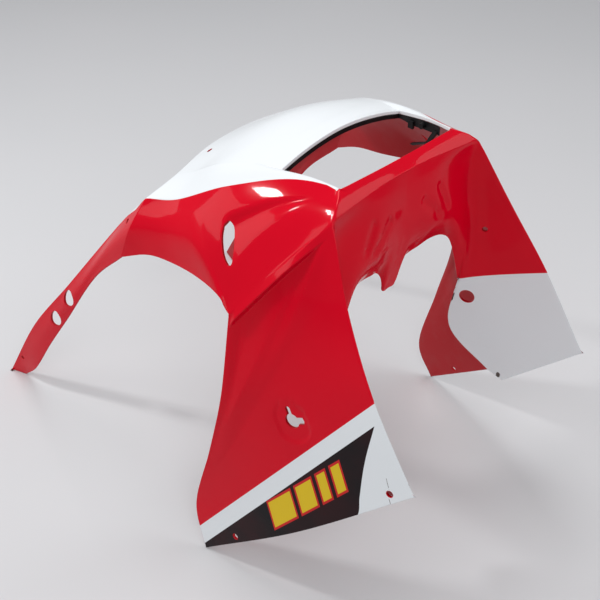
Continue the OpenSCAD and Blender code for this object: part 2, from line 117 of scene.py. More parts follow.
# Edges of the left half, each a list of points that a smooth curve follows
SCREEN_EDGE = edge(SCREEN_MID, ARM_ROOT, (0.38, 0, 0, 7), (0.74, 6, 0, 7))
ARM_OUTER = edge(ARM_ROOT, TIP_OUT, (0.16, -3, -2, 6), (0.46, -6, 2, 6), (0.73, -5, 3, 12))
ARM_INNER = edge(
    ARM_HEEL, TIP_IN, (0.2, -10, -2, 4), (0.47, -6, 1, -2), (0.68, 1, 3, 0), (0.87, 4, 4, -5),
)
ARCH_EDGE = edge(
    ARM_HEEL, ARCH_END, (0.22, 1, -8, 13), (0.45, 1, -11, 15), (0.68, 3, -8, 16), (0.90, 1, -2, 13),
)
TAIL_EDGE = edge(ARCH_END, TAIL, (0.29, 5, 5, 0), (0.55, -8, 1, 0), (0.84, -24, -2, 0))
LOWER_EDGE = edge(TAIL, TOE, (0.5, 3, 6, -3))
SHOULDER_CREASE = edge(ARCH_END, NOSE, (0.5, 0, 3, 2))
FRONT_FOLD = edge(NOSE, TOE, (0.3, -6, 7, 0), (0.62, -2, 10, -3))
HOOD_SIDE = edge(ARM_ROOT, BROW, (0.22, -5, 3, -2), (0.5, -8, 6, 9), (0.77, -8, 1, 10))
RIM = edge(RIM_MID, RIM_CORNER, (0.35, 0, 0, 2.9), (0.7, 0, 0, 2.6))
OPENING_SIDE = edge(RIM_CORNER, BROW, (0.5, 0, 0, 2))
MID_LINE = edge(SCREEN_MID, RIM_MID, (0.48, 0, 0, 14), (0.85, 0, 0, 7))
NOSE_CREASE = edge(CREASE_MID, NOSE, (0.3, -1.5, 0, 1), (0.6, -1.5, 0, 0.5))
WEB_CREASE = edge(NOSE, WEB_TOP, (0.22, -4, -4, 0), (0.66, 6.7, -5.5, 0))
WHEEL_EDGE = [
    TAB_END,
    TAB_END + P(0, 9, 1),
    TAB_END + P(0, 14, 20),
    TAB_END + P(1, 22, 30),
    via(TAB_END, WEB_TOP, 0.38, (-1, -2, 47)),
    via(TAB_END, WEB_TOP, 0.57, (-2, -3.7, 56)),
    via(TAB_END, WEB_TOP, 0.71, (-2, 0, 57)),
    via(TAB_END, WEB_TOP, 0.8, (0, 2.8, 46)),
    WEB_TOP,
]
WEB_EDGE = edge(WEB_TOP, WEB_TOE, (0.36, -29, -2, -29), (0.6, 0, 4, -38))
ROOT_LINE = edge(ARM_ROOT, ARM_HEEL, (0.5, 3, 6, 4))
BROW_END = edge(BROW, NOSE, (0.5, 1, 1, 1))
BELLY_LINE = edge(CREASE_MID, TAB_END, (0.18, 5, 0, 0), (0.46, 8, 0, 0), (0.74, 5, 0, 0))


# ---------------------------------------------------------------- curves and patches
def catmull_rom(a, b, c, d, s):
    """q(s) = (2b + (c - a) s + (2a - 5b + 4c - d) s^2 + (3b - a - 3c + d) s^3) / 2.

    It runs from b to c as the share s goes from 0 to 1, with a before b and d after c.
    """
    return 0.5 * (
        2 * b + (c - a) * s + (2 * a - 5 * b + 4 * c - d) * s**2 + (3 * b - a - 3 * c + d) * s**3
    )


def along(points, t):
    """Smooth curve through a list of points, at shares t from 0 to 1.

    A curve that starts in the mid-plane goes on as its own mirror image there.
    """
    p = np.array(points)
    crossing = p[0, 1] == 0 != p[1, 1]
    before = p[1] * (1, -1, 1) if crossing else 2 * p[0] - p[1]
    p = np.vstack([before, p, 2 * p[-1] - p[-2]])
    s = np.clip(np.asarray(t, float), 0, 1) * (len(points) - 1)
    k = np.minimum(s.astype(int), len(points) - 2)
    return catmull_rom(*(p[k + i] for i in range(4)), (s - k)[..., None])


def chained(first, second, at):
    """Curve that runs along the first list up to share at, and then along the second."""
    return lambda t: np.where(
        (t < at)[..., None], along(first, t / at), along(second, (t - at) / (1 - at))
    )


def patch(near, far, left, right, us, vs, lean_l=None, lean_r=None):
    """Surface between four edges: near and far run in u, left and right in v.

    h(u, v) = (1 + 2u)(1 - u)^2 L + u^2 (3 - 2u) R + u (1 - u)^2 TL - u^2 (1 - u) TR
    leaves left and right in the directions TL and TR, and near and far are met by adding
    (1 - v)(near - h(u, 0)) + v (far - h(u, 1)).
    """
    tl = right - left if lean_l is None else lean_l
    tr = right - left if lean_r is None else lean_r
    u, v = us[:, None, None], vs[None, :, None]
    h = (
        (1 + 2 * u) * (1 - u) ** 2 * left
        + u**2 * (3 - 2 * u) * right
        + u * (1 - u) ** 2 * tl
        - u**2 * (1 - u) * tr
    )
    return h + (1 - v) * (near[:, None] - h[:, :1]) + v * (far[:, None] - h[:, -1:])


def shares(length, cell, *fine):
    """Shares from 0 to 1 of a length, a cell apart, and closer in each (first, last, step)."""
    marks = sorted({0.0, 1.0, *[float(t) for span in fine for t in span[:2]]})
    out = [0.0]
    for a, b in zip(marks, marks[1:]):
        step = min([cell] + [s for p, q, s in fine if p <= a + 1e-9 and b <= q + 1e-9])
        n = max(1, int(np.ceil((b - a) * length / step - 1e-6)))
        out += list(a + (b - a) * np.arange(1, n + 1) / n)
    return np.array(out)


CELL = 7.0
CREASE_T = shares(300, CELL, (0, 0.02, 1.5), (0.48, 0.7, 2.4), (0.97, 1, 1.5))
ARCH_T = shares(190, CELL, (0, 0.03, 2), (0.96, 1, 2))
FOLD_T = shares(
    330, CELL, (0, 0.02, 1.3), (0.02, 0.065, 1.0), (0.065, 0.1, 2.5), (0.53, 0.71, 2.4),
    (0.98, 1, 2),
)
BAND_T = shares(75, 2.6, (0, 0.06, 1.3), (0.94, 1, 1.3))
ARM_T = shares(440, CELL, (0, 0.01, 2), (0.985, 1, 2))
NOSE_T = shares(105, 3.2, (0, 0.03, 1.5), (0.95, 1, 1.2))
WEB_T = shares(165, 5.0, (0, 0.03, 1.3), (0.97, 1, 2))
RIM_T = shares(82, 6.0, (0.95, 1, 1.5))
SIDE_T = shares(70, 5.5, (0, 0.06, 1.5), (0.96, 1, 1.5))
ARCH_SHARE = 3 / 7
RIM_SHARE = 2 / 3
LONG_T = np.concatenate([ARCH_T * ARCH_SHARE, ARCH_SHARE + CREASE_T[1:] * (1 - ARCH_SHARE)])
HOOD_T = np.concatenate([RIM_T * RIM_SHARE, RIM_SHARE + SIDE_T[1:] * (1 - RIM_SHARE)])

outer_curve = chained(ARCH_EDGE, SHOULDER_CREASE, ARCH_SHARE)
rim_curve = chained(RIM, OPENING_SIDE, RIM_SHARE)


def side_dir(t):
    """Direction in which the surface crosses from the hood to the shoulder."""
    return via(P(-0.15, 0.72, -0.7), P(0.4, 0.8, -0.45), t[:, None])


def hood(us, vs):
    mid, side = along(MID_LINE, vs), along(HOOD_SIDE, vs)
    width = np.linalg.norm(side - mid, axis=1)[:, None]
    return patch(
        along(SCREEN_EDGE, us), rim_curve(us), mid, side, us, vs,
        width * P(0, 1, 0), width * side_dir(vs),
    )


# The slit of the air vent, and the ramp that sinks to it from a point beside the nose
SLIT_TOP, SLIT_END = (0.351, 0.533), (0.684, 0.494)
RAMP_V = 0.9


def shoulder(us, vs, ramp=True):
    side, outer = along(HOOD_SIDE, vs), outer_curve(vs)
    width = np.linalg.norm(outer - side, axis=1)[:, None]
    g = patch(along(ROOT_LINE, us), along(BROW_END, us), side, outer, us, vs, width * side_dir(vs))
    if not ramp:
        return g
    u, v = us[:, None], vs[None, :]
    slit_v = via(SLIT_TOP[1], SLIT_END[1], (u - SLIT_TOP[0]) / (SLIT_END[0] - SLIT_TOP[0]), 0)
    t = (v - slit_v) / (RAMP_V - slit_v)
    low, high = 0.3 - 0.05 * t, 0.72 - 0.4 * t
    share = (u - low) / (high - low)
    depth = (
        VENT_DEPTH * (1 - t) * smooth(-0.05, 0.3, share) * np.clip(1.12 * (1 - share), 0, 1)
        * smooth(slit_v - 0.009, slit_v + 0.005, v) * (v < RAMP_V)
    )
    return g - depth[..., None] * P(0.1, 0.75, 0.65)


def arm(us, vs):
    return patch(
        along(ROOT_LINE, us), via(TIP_OUT, TIP_IN, us[:, None]),
        along(ARM_OUTER, vs), along(ARM_INNER, vs), us, vs,
    )


def ridge(us, vs):
    return patch(
        along([BROW_MID, BROW], us), along(NOSE_CREASE, us),
        via(BROW_MID, CREASE_MID, vs[:, None]), along(BROW_END, vs), us, vs,
    )


BELLY_SWELL, EVENING_ROUNDS = 4.0, 120


def belly(us, vs):
    """Patch down to an evened wheel edge, which takes its own hooked form only near its end."""
    mid, side = along(BELLY_LINE, vs), along(WEB_CREASE, vs)
    width = np.linalg.norm(side - mid, axis=1)[:, None]
    hooked = along(WHEEL_EDGE, us)
    even = hooked.copy()
    for _ in range(EVENING_ROUNDS):
        even[1:-1] = (even[:-2] + 2 * even[1:-1] + even[2:]) / 4
    g = patch(along(NOSE_CREASE, us), even, mid, side, us, vs, width * P(0, 1, 0))
    g = g + vs[None, :, None] ** 3 * (hooked - even)[:, None]
    u, v = us[:, None], vs[None, :]
    swell = BELLY_SWELL * 4 * v * (1 - v) * 16 * (u * (1 - u)) ** 2
    return g + swell[..., None] * P(1, 0, 0) - slot_depth(g)[..., None] * P(0.95, 0.25, -0.15)


# Shares of the flank's height at which the bevel over the step ends and the pocket starts
BEVEL_END, POCKET_START = 0.036, 0.046


def flank(us, vs, formed=True):
    """Patch with a raised bevel over a wedge-shaped pocket, a soft crease and a pad."""
    g = patch(
        along(SHOULDER_CREASE, us), along(LOWER_EDGE, us),
        along(TAIL_EDGE, vs), along(FRONT_FOLD, vs), us, vs,
    )
    if not formed:
        return g
    u, v = us[:, None], vs[None, :]
    pocket = (
        STEP_DEPTH * smooth(0.03, 0.14, u) * (1 - smooth(0.74, 0.92, u + 1.6 * (v - 0.05)))
        * smooth(BEVEL_END, POCKET_START, v) * (1 - smooth(0.06, 0.42, v))
    )
    line = 0.5 - 0.95 * u + 0.5 * u * u
    soft = (
        CREASE_RISE * smooth(0.02, 0.2, u) * (1 - smooth(0.7, 0.95, u))
        * np.clip(1 - abs(v - line) / 0.2, 0, 1)
    )
    bevel = (
        BEVEL_RISE * smooth(0.0, 0.1, u) * (1 - smooth(0.6, 0.9, u))
        * np.clip(v / BEVEL_END, 0, 1) * (1 - smooth(BEVEL_END, POCKET_START, v))
    )
    inside = smooth(0, 0.01, u) * smooth(0, 0.01, 1 - u) * (v > 0) * (v < 1)
    g = g + (inside * (soft + bevel - pocket))[..., None] * P(0.2, 0.95, 0.2)
    return g - (PAD_DEPTH * pad_mask(g))[..., None] * SIGNAL_AXIS


def web(us, vs):
    return patch(
        along(FRONT_FOLD, us), along(WEB_EDGE, us),
        along(WEB_CREASE, vs), via(TOE, WEB_TOE, vs[:, None]), us, vs,
    )


def lip(us, vs):
    """Edge of the headlight opening turned down, a little forwards in the middle."""
    top = rim_curve(us)
    t = np.clip((us - RIM_SHARE) / (1 - RIM_SHARE), 0, 1)
    across = np.minimum(us / RIM_SHARE, 1.5)
    drop = np.stack([0.15 - 0.25 * t, -0.1 * across, np.full_like(t, -1)], 1) * LIP_DEPTH
    return top[:, None] + vs[None, :, None] * drop[:, None]


def spot(surface, u, v):
    """Point of a surface at one pair of shares, and its outward normal on the left half."""
    e = 0.004
    g = surface(np.array([0, u - e, u, u + e, 1]), np.array([0, v - e, v, v + e, 1]))
    n = unit(np.cross(g[3, 2] - g[1, 2], g[2, 3] - g[2, 1]))
    return g[2, 2], n * np.sign(n[1] if abs(n[1]) > 0.2 else n[2])


def plain(surface, flag):
    return lambda us, vs: surface(us, vs, flag)


def square_to(n, d):
    """Part of direction n that is square to direction d."""
    return unit(n - d * (n @ d) / (d @ d))


# ---------------------------------------------------------------- places on the patches
SIGNAL_C, SIGNAL_AXIS = P(95.2, 157.2, 238.3), unit(P(0.198, 0.970, 0.140))
SIGNAL_UP = square_to(P(-0.5, 0, 0.85), SIGNAL_AXIS)
SIGNAL_ACROSS = np.cross(SIGNAL_AXIS, SIGNAL_UP)
SLOTS = [(P(95, 24, 398), P(91.5, 47, 372)), (P(91, 46, 404), P(91, 58, 379))]


def pad_mask(g):
    """1 inside the pad round the turn signal hole: a disc with one side cut straight."""
    d = g - SIGNAL_C
    up, across = d @ SIGNAL_UP, d @ SIGNAL_ACROSS
    disc = np.hypot(up + 1, across) - 1.42 * SIGNAL_HOLE_D
    sides = np.maximum(abs(across) - 1.25 * SIGNAL_HOLE_D, up - 1.25 * SIGNAL_HOLE_D)
    return 1 - smooth(-1.6, 0.8, np.maximum(disc, sides))


def slot_depth(g):
    """Depth of the oblong scoops in the belly, by the distance from their centre lines."""
    depth = np.zeros(g.shape[:2])
    for a, b in SLOTS:
        share = np.clip((g - a) @ (b - a) / ((b - a) @ (b - a)), 0, 1)
        away = np.linalg.norm((g - a - share[..., None] * (b - a)) * P(0, 1, 1), axis=2)
        depth += SCOOP_DEPTH * (1 - smooth(SCOOP_FLOOR, SCOOP_REACH, away))
    return depth


# ---------------------------------------------------------------- the moulded shell
# Each patch: its grid, the way its visible face looks, and the paint scheme it gets
SCHEMES = ["body", "flank", "web", "inside"]
PATCHES = [
    (hood(HOOD_T, LONG_T), P(0, 0, 1), "body"),
    (shoulder(BAND_T, LONG_T), P(0, 1, 1), "body"),
    (arm(BAND_T, ARM_T), P(0, 1, 0), "body"),
    (ridge(NOSE_T, BAND_T), P(1, 0, 1), "body"),
    (belly(NOSE_T, WEB_T), P(1, 0, -0.3), "body"),
    (flank(CREASE_T, FOLD_T), P(0, 1, 0), "flank"),
    (web(FOLD_T, WEB_T), P(0.2, -1, 0), "web"),
    (lip(HOOD_T, np.linspace(0, 1, 5)), P(1, -1, 0), "body"),
]


def grid_faces(shape, base, flip):
    m, n = shape
    k = base + np.arange(m * n).reshape(m, n)
    a, b, c, d = k[:-1, :-1], k[1:, :-1], k[1:, 1:], k[:-1, 1:]
    return np.stack([a, d, c, b] if flip else [a, b, c, d], -1).reshape(-1, 4)


def one_side():
    """Points, quads and scheme numbers of the left half's outer face."""
    points, quads, scheme, base = [], [], [], 0
    for g, look, name in PATCHES:
        m, n = g.shape[0] // 2, g.shape[1] // 2
        normal = np.cross(g[m + 1, n] - g[m - 1, n], g[m, n + 1] - g[m, n - 1])
        q = grid_faces(g.shape[:2], base, normal @ look < 0)
        points.append(g.reshape(-1, 3))
        quads.append(q)
        scheme += [SCHEMES.index(name)] * len(q)
        base += g.shape[0] * g.shape[1]
    return np.vstack(points), np.vstack(quads), np.array(scheme)


def welded(points, quads):
    """The same faces once points at one place are one point."""
    _, first, inverse = np.unique(
        np.round(points, 2), axis=0, return_index=True, return_inverse=True
    )
    return points[first], inverse.reshape(-1)[quads]


def corner_normals(points, quads):
    """Mean normal of each point, weighted by the area of its faces."""
    p = points[quads]
    n = np.cross(p[:, 2] - p[:, 0], p[:, 3] - p[:, 1])
    total = np.zeros_like(points)
    for k in range(4):
        np.add.at(total, quads[:, k], n)
    return unit(total)


def neighbours(quads):
    """Pairs of points that share an edge, both ways round."""
    e = np.vstack([quads[:, [k, (k + 1) % 4]] for k in range(4)])
    e = np.unique(np.sort(e, axis=1), axis=0)
    e = e[e[:, 0] != e[:, 1]]
    return np.vstack([e, e[:, ::-1]])


def relaxed(points, quads, weight, rounds, fixed):
    """Points moved towards the mean of their neighbours, as far as weight says."""
    pairs = neighbours(quads)
    count = np.bincount(pairs[:, 0], minlength=len(points))[:, None]
    w = np.where(fixed, 0, weight)[:, None]
    for _ in range(rounds):
        mean = np.zeros_like(points)
        np.add.at(mean, pairs[:, 0], points[pairs[:, 1]])
        points = points + 0.5 * w * (mean / count - points)
    return points


def free_runs(quads):
    """Directed edges that only one face has."""
    e = np.vstack([quads[:, [k, (k + 1) % 4]] for k in range(4)])
    e = e[e[:, 0] != e[:, 1]]
    known = {(a, b) for a, b in e.tolist()}
    return np.array([(a, b) for a, b in e.tolist() if (b, a) not in known])


# Creases that the mould rounds, each with the rounds of smoothing that give its radius
CREASES = [
    (SHOULDER_CREASE, 2), (FRONT_FOLD, 22), (NOSE_CREASE, 4), (WEB_CREASE[:-1], 8),
    (BROW_END, 5), (RIM, 3), (OPENING_SIDE, 3),
]
CREASE_CORE, CREASE_REACH = 5.0, 12.0
EDGE_ROLL, EDGE_REACH, HOLE_ROLL, ROLLS = 0.9, 9.0, 0.5, 4


def nearest(points, targets):
    """For each point, the number of the nearest target and how far it is."""
    tree = kdtree.KDTree(len(targets))
    for k, p in enumerate(targets):
        tree.insert(p, k)
    tree.balance()
    found = [tree.find(p)[1:] for p in points]
    return np.array([k for k, _ in found]), np.array([d for _, d in found])


def outer_face():
    """Outer face of the whole shell with its creases rounded, and its free edges."""
    points, quads, scheme = one_side()
    quads = np.vstack([quads, quads[:, ::-1] + len(points)])
    points = np.vstack([points, points * P(1, -1, 1)])
    scheme = np.concatenate([scheme, scheme])
    points, quads = welded(points, quads)
    points[abs(points[:, 1]) < 0.01, 1] = 0
    edges = free_runs(quads)
    rim = np.zeros(len(points), bool)
    rim[edges.reshape(-1)] = True
    left = np.column_stack([points[:, 0], abs(points[:, 1]), points[:, 2]])
    for curve, rounds in CREASES:
        away = nearest(left, along(curve, np.linspace(0, 1, 300)))[1]
        points = relaxed(points, quads, 1 - smooth(CREASE_CORE, CREASE_REACH, away), rounds, rim)
    return points, quads, scheme, edges, rim


def drawn_back(points, quads, rim, edges):
    """Points near a free edge move in, so that the edge's half round ends where it was."""
    normals = corner_normals(points, quads)
    run = unit(points[edges[:, 1]] - points[edges[:, 0]])
    inward = np.zeros_like(points)
    for ends in edges.T:
        np.add.at(inward, ends, np.cross(normals[ends], run))
    inward /= np.maximum(np.linalg.norm(inward, axis=1), 1.2)[:, None]
    ids = np.flatnonzero(rim)
    k, away = nearest(points, points[ids])
    move = EDGE_ROLL * (1 - smooth(0, EDGE_REACH, away))[:, None] * inward[ids[k]]
    return points + move, inward


class Sheet:
    """One face of the wall, with its points' normals, that can be probed and cut."""

    def __init__(self, points, quads, normals, facing):
        self.points, self.quads, self.normals, self.facing = points, quads, normals, facing
        self.tree = BVHTree.FromPolygons(points.tolist(), quads.tolist())

    def probe(self, place, axis):
        """Point and normal where a line along the axis meets the sheet near a place."""
        hit, _, face, _ = self.tree.ray_cast(Vector(place + 14 * axis), Vector(-axis), 40)
        if hit is None:
            hit, _, face, _ = self.tree.find_nearest(Vector(place))
        ring = self.quads[face]
        w = np.array(poly_3d_calc([Vector(q) for q in self.points[ring]], hit))
        return np.array(hit), unit(w @ self.normals[ring])


def polygon_distance(q, outline):
    """Distance of each point to a closed outline, below zero inside it."""
    a, b = outline, np.roll(outline, -1, axis=0)
    d = b - a
    rel = q[:, None] - a[None]
    t = np.clip((rel * d).sum(2) / (d * d).sum(1), 0, 1)
    gap = np.linalg.norm(rel - t[..., None] * d, axis=2).min(1)
    y0, y1, y = a[None, :, 1], b[None, :, 1], q[:, None, 1]
    cross = (y0 > y) != (y1 > y)
    x = a[None, :, 0] + (y - y0) / np.where(y1 == y0, 1, y1 - y0) * d[None, :, 0]
    inside = (cross & (q[:, None, 0] < x)).sum(1) % 2 == 1
    return np.where(inside, -gap, gap)


def area(outline):
    """Twice the area of a closed outline, below zero where it runs the other way round."""
    x, y = np.array(outline).T
    return x @ np.roll(y, -1) - np.roll(x, -1) @ y


def grown(outline, by):
    """The outline moved outwards, with its points kept."""
    before, after = np.roll(outline, 1, axis=0), np.roll(outline, -1, axis=0)
    t = unit(after - before)
    return outline + by * np.stack([t[:, 1], -t[:, 0]], 1)


def thickness(points):
    """Wall at each point: it thins by the acute fold and by two tight corners of the edges."""
    left = np.column_stack([points[:, 0], abs(points[:, 1]), points[:, 2]])
    fold = along(FRONT_FOLD, np.linspace(0, 1, 400))
    corner = along(WEB_EDGE, np.linspace(0, 0.25, 80))
    tight = np.vstack([fold, corner, [BROW]])
    away = nearest(left, tight)[1]
    return np.clip(THIN_SLOPE * away, THINNEST, WALL)


class Shell:
    """The moulding's wall: its two faces, its rolled edges and its holes."""

    def __init__(self):
        points, quads, scheme, edges, rim = outer_face()
        points, inward = drawn_back(points, quads, rim, edges)
        normals = corner_normals(points, quads)
        n = len(points)
        self.points = [points, points - thickness(points)[:, None] * normals]
        self.normals = [normals, -normals]
        self.count = 2 * n
        self.faces, self.slots = [], []
        self.sheets = [
            Sheet(points, quads, normals, 1), Sheet(self.points[1], quads, -normals, -1)
        ]
        self.quads, self.scheme = [quads, quads.copy()], [scheme, scheme.copy()]
        self.roll_edges(points, normals, inward, edges, rim, scheme)

    def add_points(self, points, normals):
        first = self.count
        self.points.append(np.asarray(points, float))
        self.normals.append(np.asarray(normals, float))
        self.count += len(points)
        return first + np.arange(len(points))

    def roll_edges(self, points, normals, inward, edges, rim, scheme):
        """Close the wall along its free edges with a half round."""
        n, ids = len(points), np.flatnonzero(rim)
        wall = thickness(points)[:, None]
        place = np.full((ROLLS + 1, n), -1)
        place[0], place[ROLLS] = np.arange(n), np.arange(n) + n
        for k in range(1, ROLLS):
            a = np.pi * k / ROLLS
            turn = np.cos(a) * normals[ids] - np.sin(a) * inward[ids]
            at = points[ids] - normals[ids] * wall[ids] / 2 * (1 - np.cos(a))
            place[k, ids] = self.add_points(at - np.sin(a) * EDGE_ROLL * inward[ids], turn)
        owner = {}
        for q, s in zip(self.quads[0].tolist(), scheme.tolist()):
            for k in range(4):
                owner[(q[k], q[(k + 1) % 4])] = s
        for i, j in edges.tolist():
            for k in range(ROLLS):
                self.faces.append([place[k, j], place[k, i], place[k + 1, i], place[k + 1, j]])
                self.slots.append(owner[(i, j)])

    def cut(self, outline, centre, axis, up):
        """Cut a hole with rolled edges through both faces of the wall."""
        near = np.linalg.norm(self.sheets[0].points - centre, axis=1).argmin()
        axis = axis * np.sign(self.sheets[0].normals[near] @ axis)
        x = square_to(up, axis)
        y = np.cross(axis, x)
        outline = outline if area(outline) > 0 else outline[::-1]
        frame_2d = centre, axis, x, y
        rings = [self.open_sheet(layer, outline, frame_2d) for layer in (0, 1)]
        top, low = (
            [self.sheets[layer].probe(centre + q[0] * x + q[1] * y, axis)
             for q in grown(outline, HOLE_ROLL)]
            for layer in (0, 1)
        )
        wall_rings = []
        away = grown(outline, 1.0) - outline
        side = -(away[:, :1] * x + away[:, 1:] * y)
        for start, end, sign in ((top, low, 1), (low, top, -1)):
            p0, n0 = (np.array([q[i] for q in start]) for i in (0, 1))
            inwards = unit(np.array([q[0] for q in end]) - p0)
            turns = np.linspace(0, np.pi / 2, 4)[1:]
            new = [
                self.add_points(
                    p0 + HOLE_ROLL * (np.sin(a) * side + (1 - np.cos(a)) * inwards),
                    unit(np.cos(a) * n0 + np.sin(a) * side),
                )
                for a in turns
            ]
            wall_rings += new if sign > 0 else new[::-1]
        chain = [rings[0]] + wall_rings + [rings[1]]
        m = len(outline)
        for p, q in zip(chain, chain[1:]):
            for k in range(m):
                j = (k + 1) % m
                self.faces.append([p[k], p[j], q[j], q[k]])
                self.slots.append(SCHEMES.index("body" if p is chain[0] else "inside"))

    def open_sheet(self, layer, outline, frame_2d):
        """Open one face round an outline, and return the ring of points along the hole."""
        centre, axis, x, y = frame_2d
        sheet, quads = self.sheets[layer], self.quads[layer]
        offset = layer * len(sheet.points)
        rel = sheet.points - centre
        flat = np.stack([rel @ x, rel @ y], 1)
        reach = abs(outline).max() + 12
        close = (abs(flat).max(1) < reach) & (abs(rel @ axis) < 22)
        close &= (sheet.normals @ axis) * sheet.facing > 0.15
        ids = np.flatnonzero(close)
        ids = ids[polygon_distance(flat[ids], outline) < HOLE_ROLL + 1.6]
        crossed = np.isin(quads, ids).any(1)
        crossed |= self.crossed_quads(quads, flat, close, outline)
        gone = quads[crossed]
        slot = np.bincount(self.scheme[layer][crossed]).argmax()
        self.quads[layer], self.scheme[layer] = quads[~crossed], self.scheme[layer][~crossed]
        loop = free_runs(gone)
        loop_ids = np.unique(loop)
        number = {v: k for k, v in enumerate(loop_ids.tolist())}
        ring_flat = grown(outline, HOLE_ROLL)
        m = len(outline)
        fill_flat = grown(outline, HOLE_ROLL + 1.4)[::2]
        fill_gap = polygon_distance(fill_flat, ring_flat)
        loop_flat = flat[loop_ids]
        far = np.array([np.linalg.norm(loop_flat - q, axis=1).min() > 0.9 for q in fill_flat])
        fill_flat = fill_flat[(fill_gap > 1.0) & far]
        flat_all = np.vstack([loop_flat, ring_flat, fill_flat])
        first = len(loop_ids)
        bounds_2d = [(number[i], number[j]) for i, j in loop.tolist()]
        bounds_2d += [(first + k, first + (k + 1) % m) for k in range(m)]
        out, _, tris, source, _, _ = delaunay_2d_cdt(
            [Vector(q) for q in flat_all], bounds_2d, [], 1, 1e-5
        )
        probed = [
            sheet.probe(centre + q[0] * x + q[1] * y, axis)
            for q in np.vstack([ring_flat, fill_flat])
        ]
        made = self.add_points([q[0] for q in probed], [q[1] for q in probed])
        index = []
        for k, q in enumerate(out):
            known = source[k]
            if known and known[0] < first:
                index.append(loop_ids[known[0]] + offset)
            elif known:
                index.append(made[known[0] - first])
            else:
                hit, normal = sheet.probe(centre + q[0] * x + q[1] * y, axis)
                index.append(self.add_points([hit], [normal])[0])
        middle = np.array([np.mean([out[i] for i in t], axis=0) for t in tris])
        keep = polygon_distance(middle, ring_flat) > 0
        for t, k in zip(tris, keep):
            if k:
                face = [index[i] for i in t]
                self.faces.append(face if layer == 0 else face[::-1])
                self.slots.append(slot if layer == 0 else SCHEMES.index("inside"))
        return made[:m]

    @staticmethod
    def crossed_quads(quads, flat, close, outline):
        """Quads that hold a point of the outline, where the cells are wider than the hole."""
        ring = grown(outline, HOLE_ROLL)
        ring = np.vstack([via(ring, np.roll(ring, -1, axis=0), t, (0, 0)) for t in (0, 0.33, 0.67)])
        crossed = np.zeros(len(quads), bool)
        for k in np.flatnonzero(close[quads].all(1)):
            crossed[k] = (polygon_distance(ring, flat[quads[k]]) < 0.7).any()
        return crossed

    def mesh(self):
        n = len(self.sheets[0].points)
        faces = self.quads[0].tolist() + (self.quads[1][:, ::-1] + n).tolist() + self.faces
        inside = SCHEMES.index("inside")
        slots = list(self.scheme[0]) + [inside] * len(self.quads[1]) + list(self.slots)
        used, flat = np.unique(np.concatenate([np.asarray(f) for f in faces]), return_inverse=True)
        faces = [list(f) for f in np.split(flat, np.cumsum([len(f) for f in faces])[:-1])]
        points = np.clip(np.vstack(self.points)[used], *INSIDE_BOX)
        return points, faces, slots, unit(np.vstack(self.normals)[used])


def placed(name, data):
    """Object of the scene that shows a mesh, a light or a camera."""
    obj = bpy.data.objects.new(name, data)
    bpy.context.scene.collection.objects.link(obj)
    return obj


def make_object(name, verts, faces, slots=None, normals=None):
    """Mesh object of points in the drawing's frame, in metres in the row's frame."""
    mesh = bpy.data.meshes.new(name)
    clean = []
    keep = []
    for k, f in enumerate(faces):
        f = [int(i) for n, i in enumerate(f) if i != f[n - 1]]
        if len(set(f)) >= 3:
            clean.append(f)
            keep.append(k)
    mesh.from_pydata(row(verts).tolist(), [], clean)
    if slots is not None:
        mesh.polygons.foreach_set("material_index", np.asarray(slots)[keep].astype(np.int32))
    mesh.polygons.foreach_set("use_smooth", np.full(len(mesh.polygons), normals is not None))
    mesh.update()
    if normals is not None:
        mesh.normals_split_custom_set_from_vertices(normals.tolist())
    return placed(name, mesh)


# ---------------------------------------------------------------- holes
def prism(outline, centre, axis, up, depth):
    """Points and faces of a straight plug: outline is (up, across) pairs about a centre."""
    x = square_to(up, axis)
    y = np.cross(axis, x)
    flat = np.array(outline)
    ring = centre + flat[:, :1] * x + flat[:, 1:] * y
    n = len(flat)
    verts = np.vstack([ring - depth * axis, ring + depth * axis])
    sides = [[k, (k + 1) % n, n + (k + 1) % n, n + k] for k in range(n)]
    caps = [list(range(n))[::-1], list(range(n, 2 * n))]
    faces = sides + caps
    return verts, [f[::-1] for f in faces] if area(flat) < 0 else faces


def disc(d, cells=48):
    a = 2 * np.pi * np.arange(cells) / cells
    return np.stack([np.cos(a), np.sin(a)], 1) * d / 2


def oval(length, width, cells=48):
    return disc(1.0, cells) * (length, width)


def rounded_outline(points, cells=12):
    """Closed smooth curve through a few (up, across) points."""
    p = np.array(points, float)
    n = len(p)
    s = np.arange(n * cells) / cells
    k = s.astype(int)
    t = (s - k)[:, None]
    return catmull_rom(*(p[(k + i) % n] for i in (-1, 0, 1, 2)), t)


UP = P(0, 0, 1)
mirror_c, mirror_n = spot(arm, 0.546, 0.485)
mirror_along = unit(spot(arm, 0.593, 0.532)[0] - spot(arm, 0.5, 0.437)[0])
mirror_axis = square_to(mirror_n, mirror_along)
mirror_off_edge = unit(square_to(P(-1, 0, 1), mirror_along))
tip_c, tip_n = spot(arm, 0.2825, 0.898)
side_c, side_n = spot(arm, 0.2087, 0.096)
front_c, _ = spot(hood, 0.42, 0.1)
access_c, access_n = spot(web, 0.336, 0.713)
peg_c, _ = spot(web, 0.3023, 0.327)
vent_top, vent_n = spot(plain(shoulder, False), *SLIT_TOP)
vent_end, _ = spot(plain(shoulder, False), *SLIT_END)
VENT_AXIS = square_to(vent_n, vent_end - vent_top)
flank_axis = unit(P(0.1185, 0.9785, 0.1689))


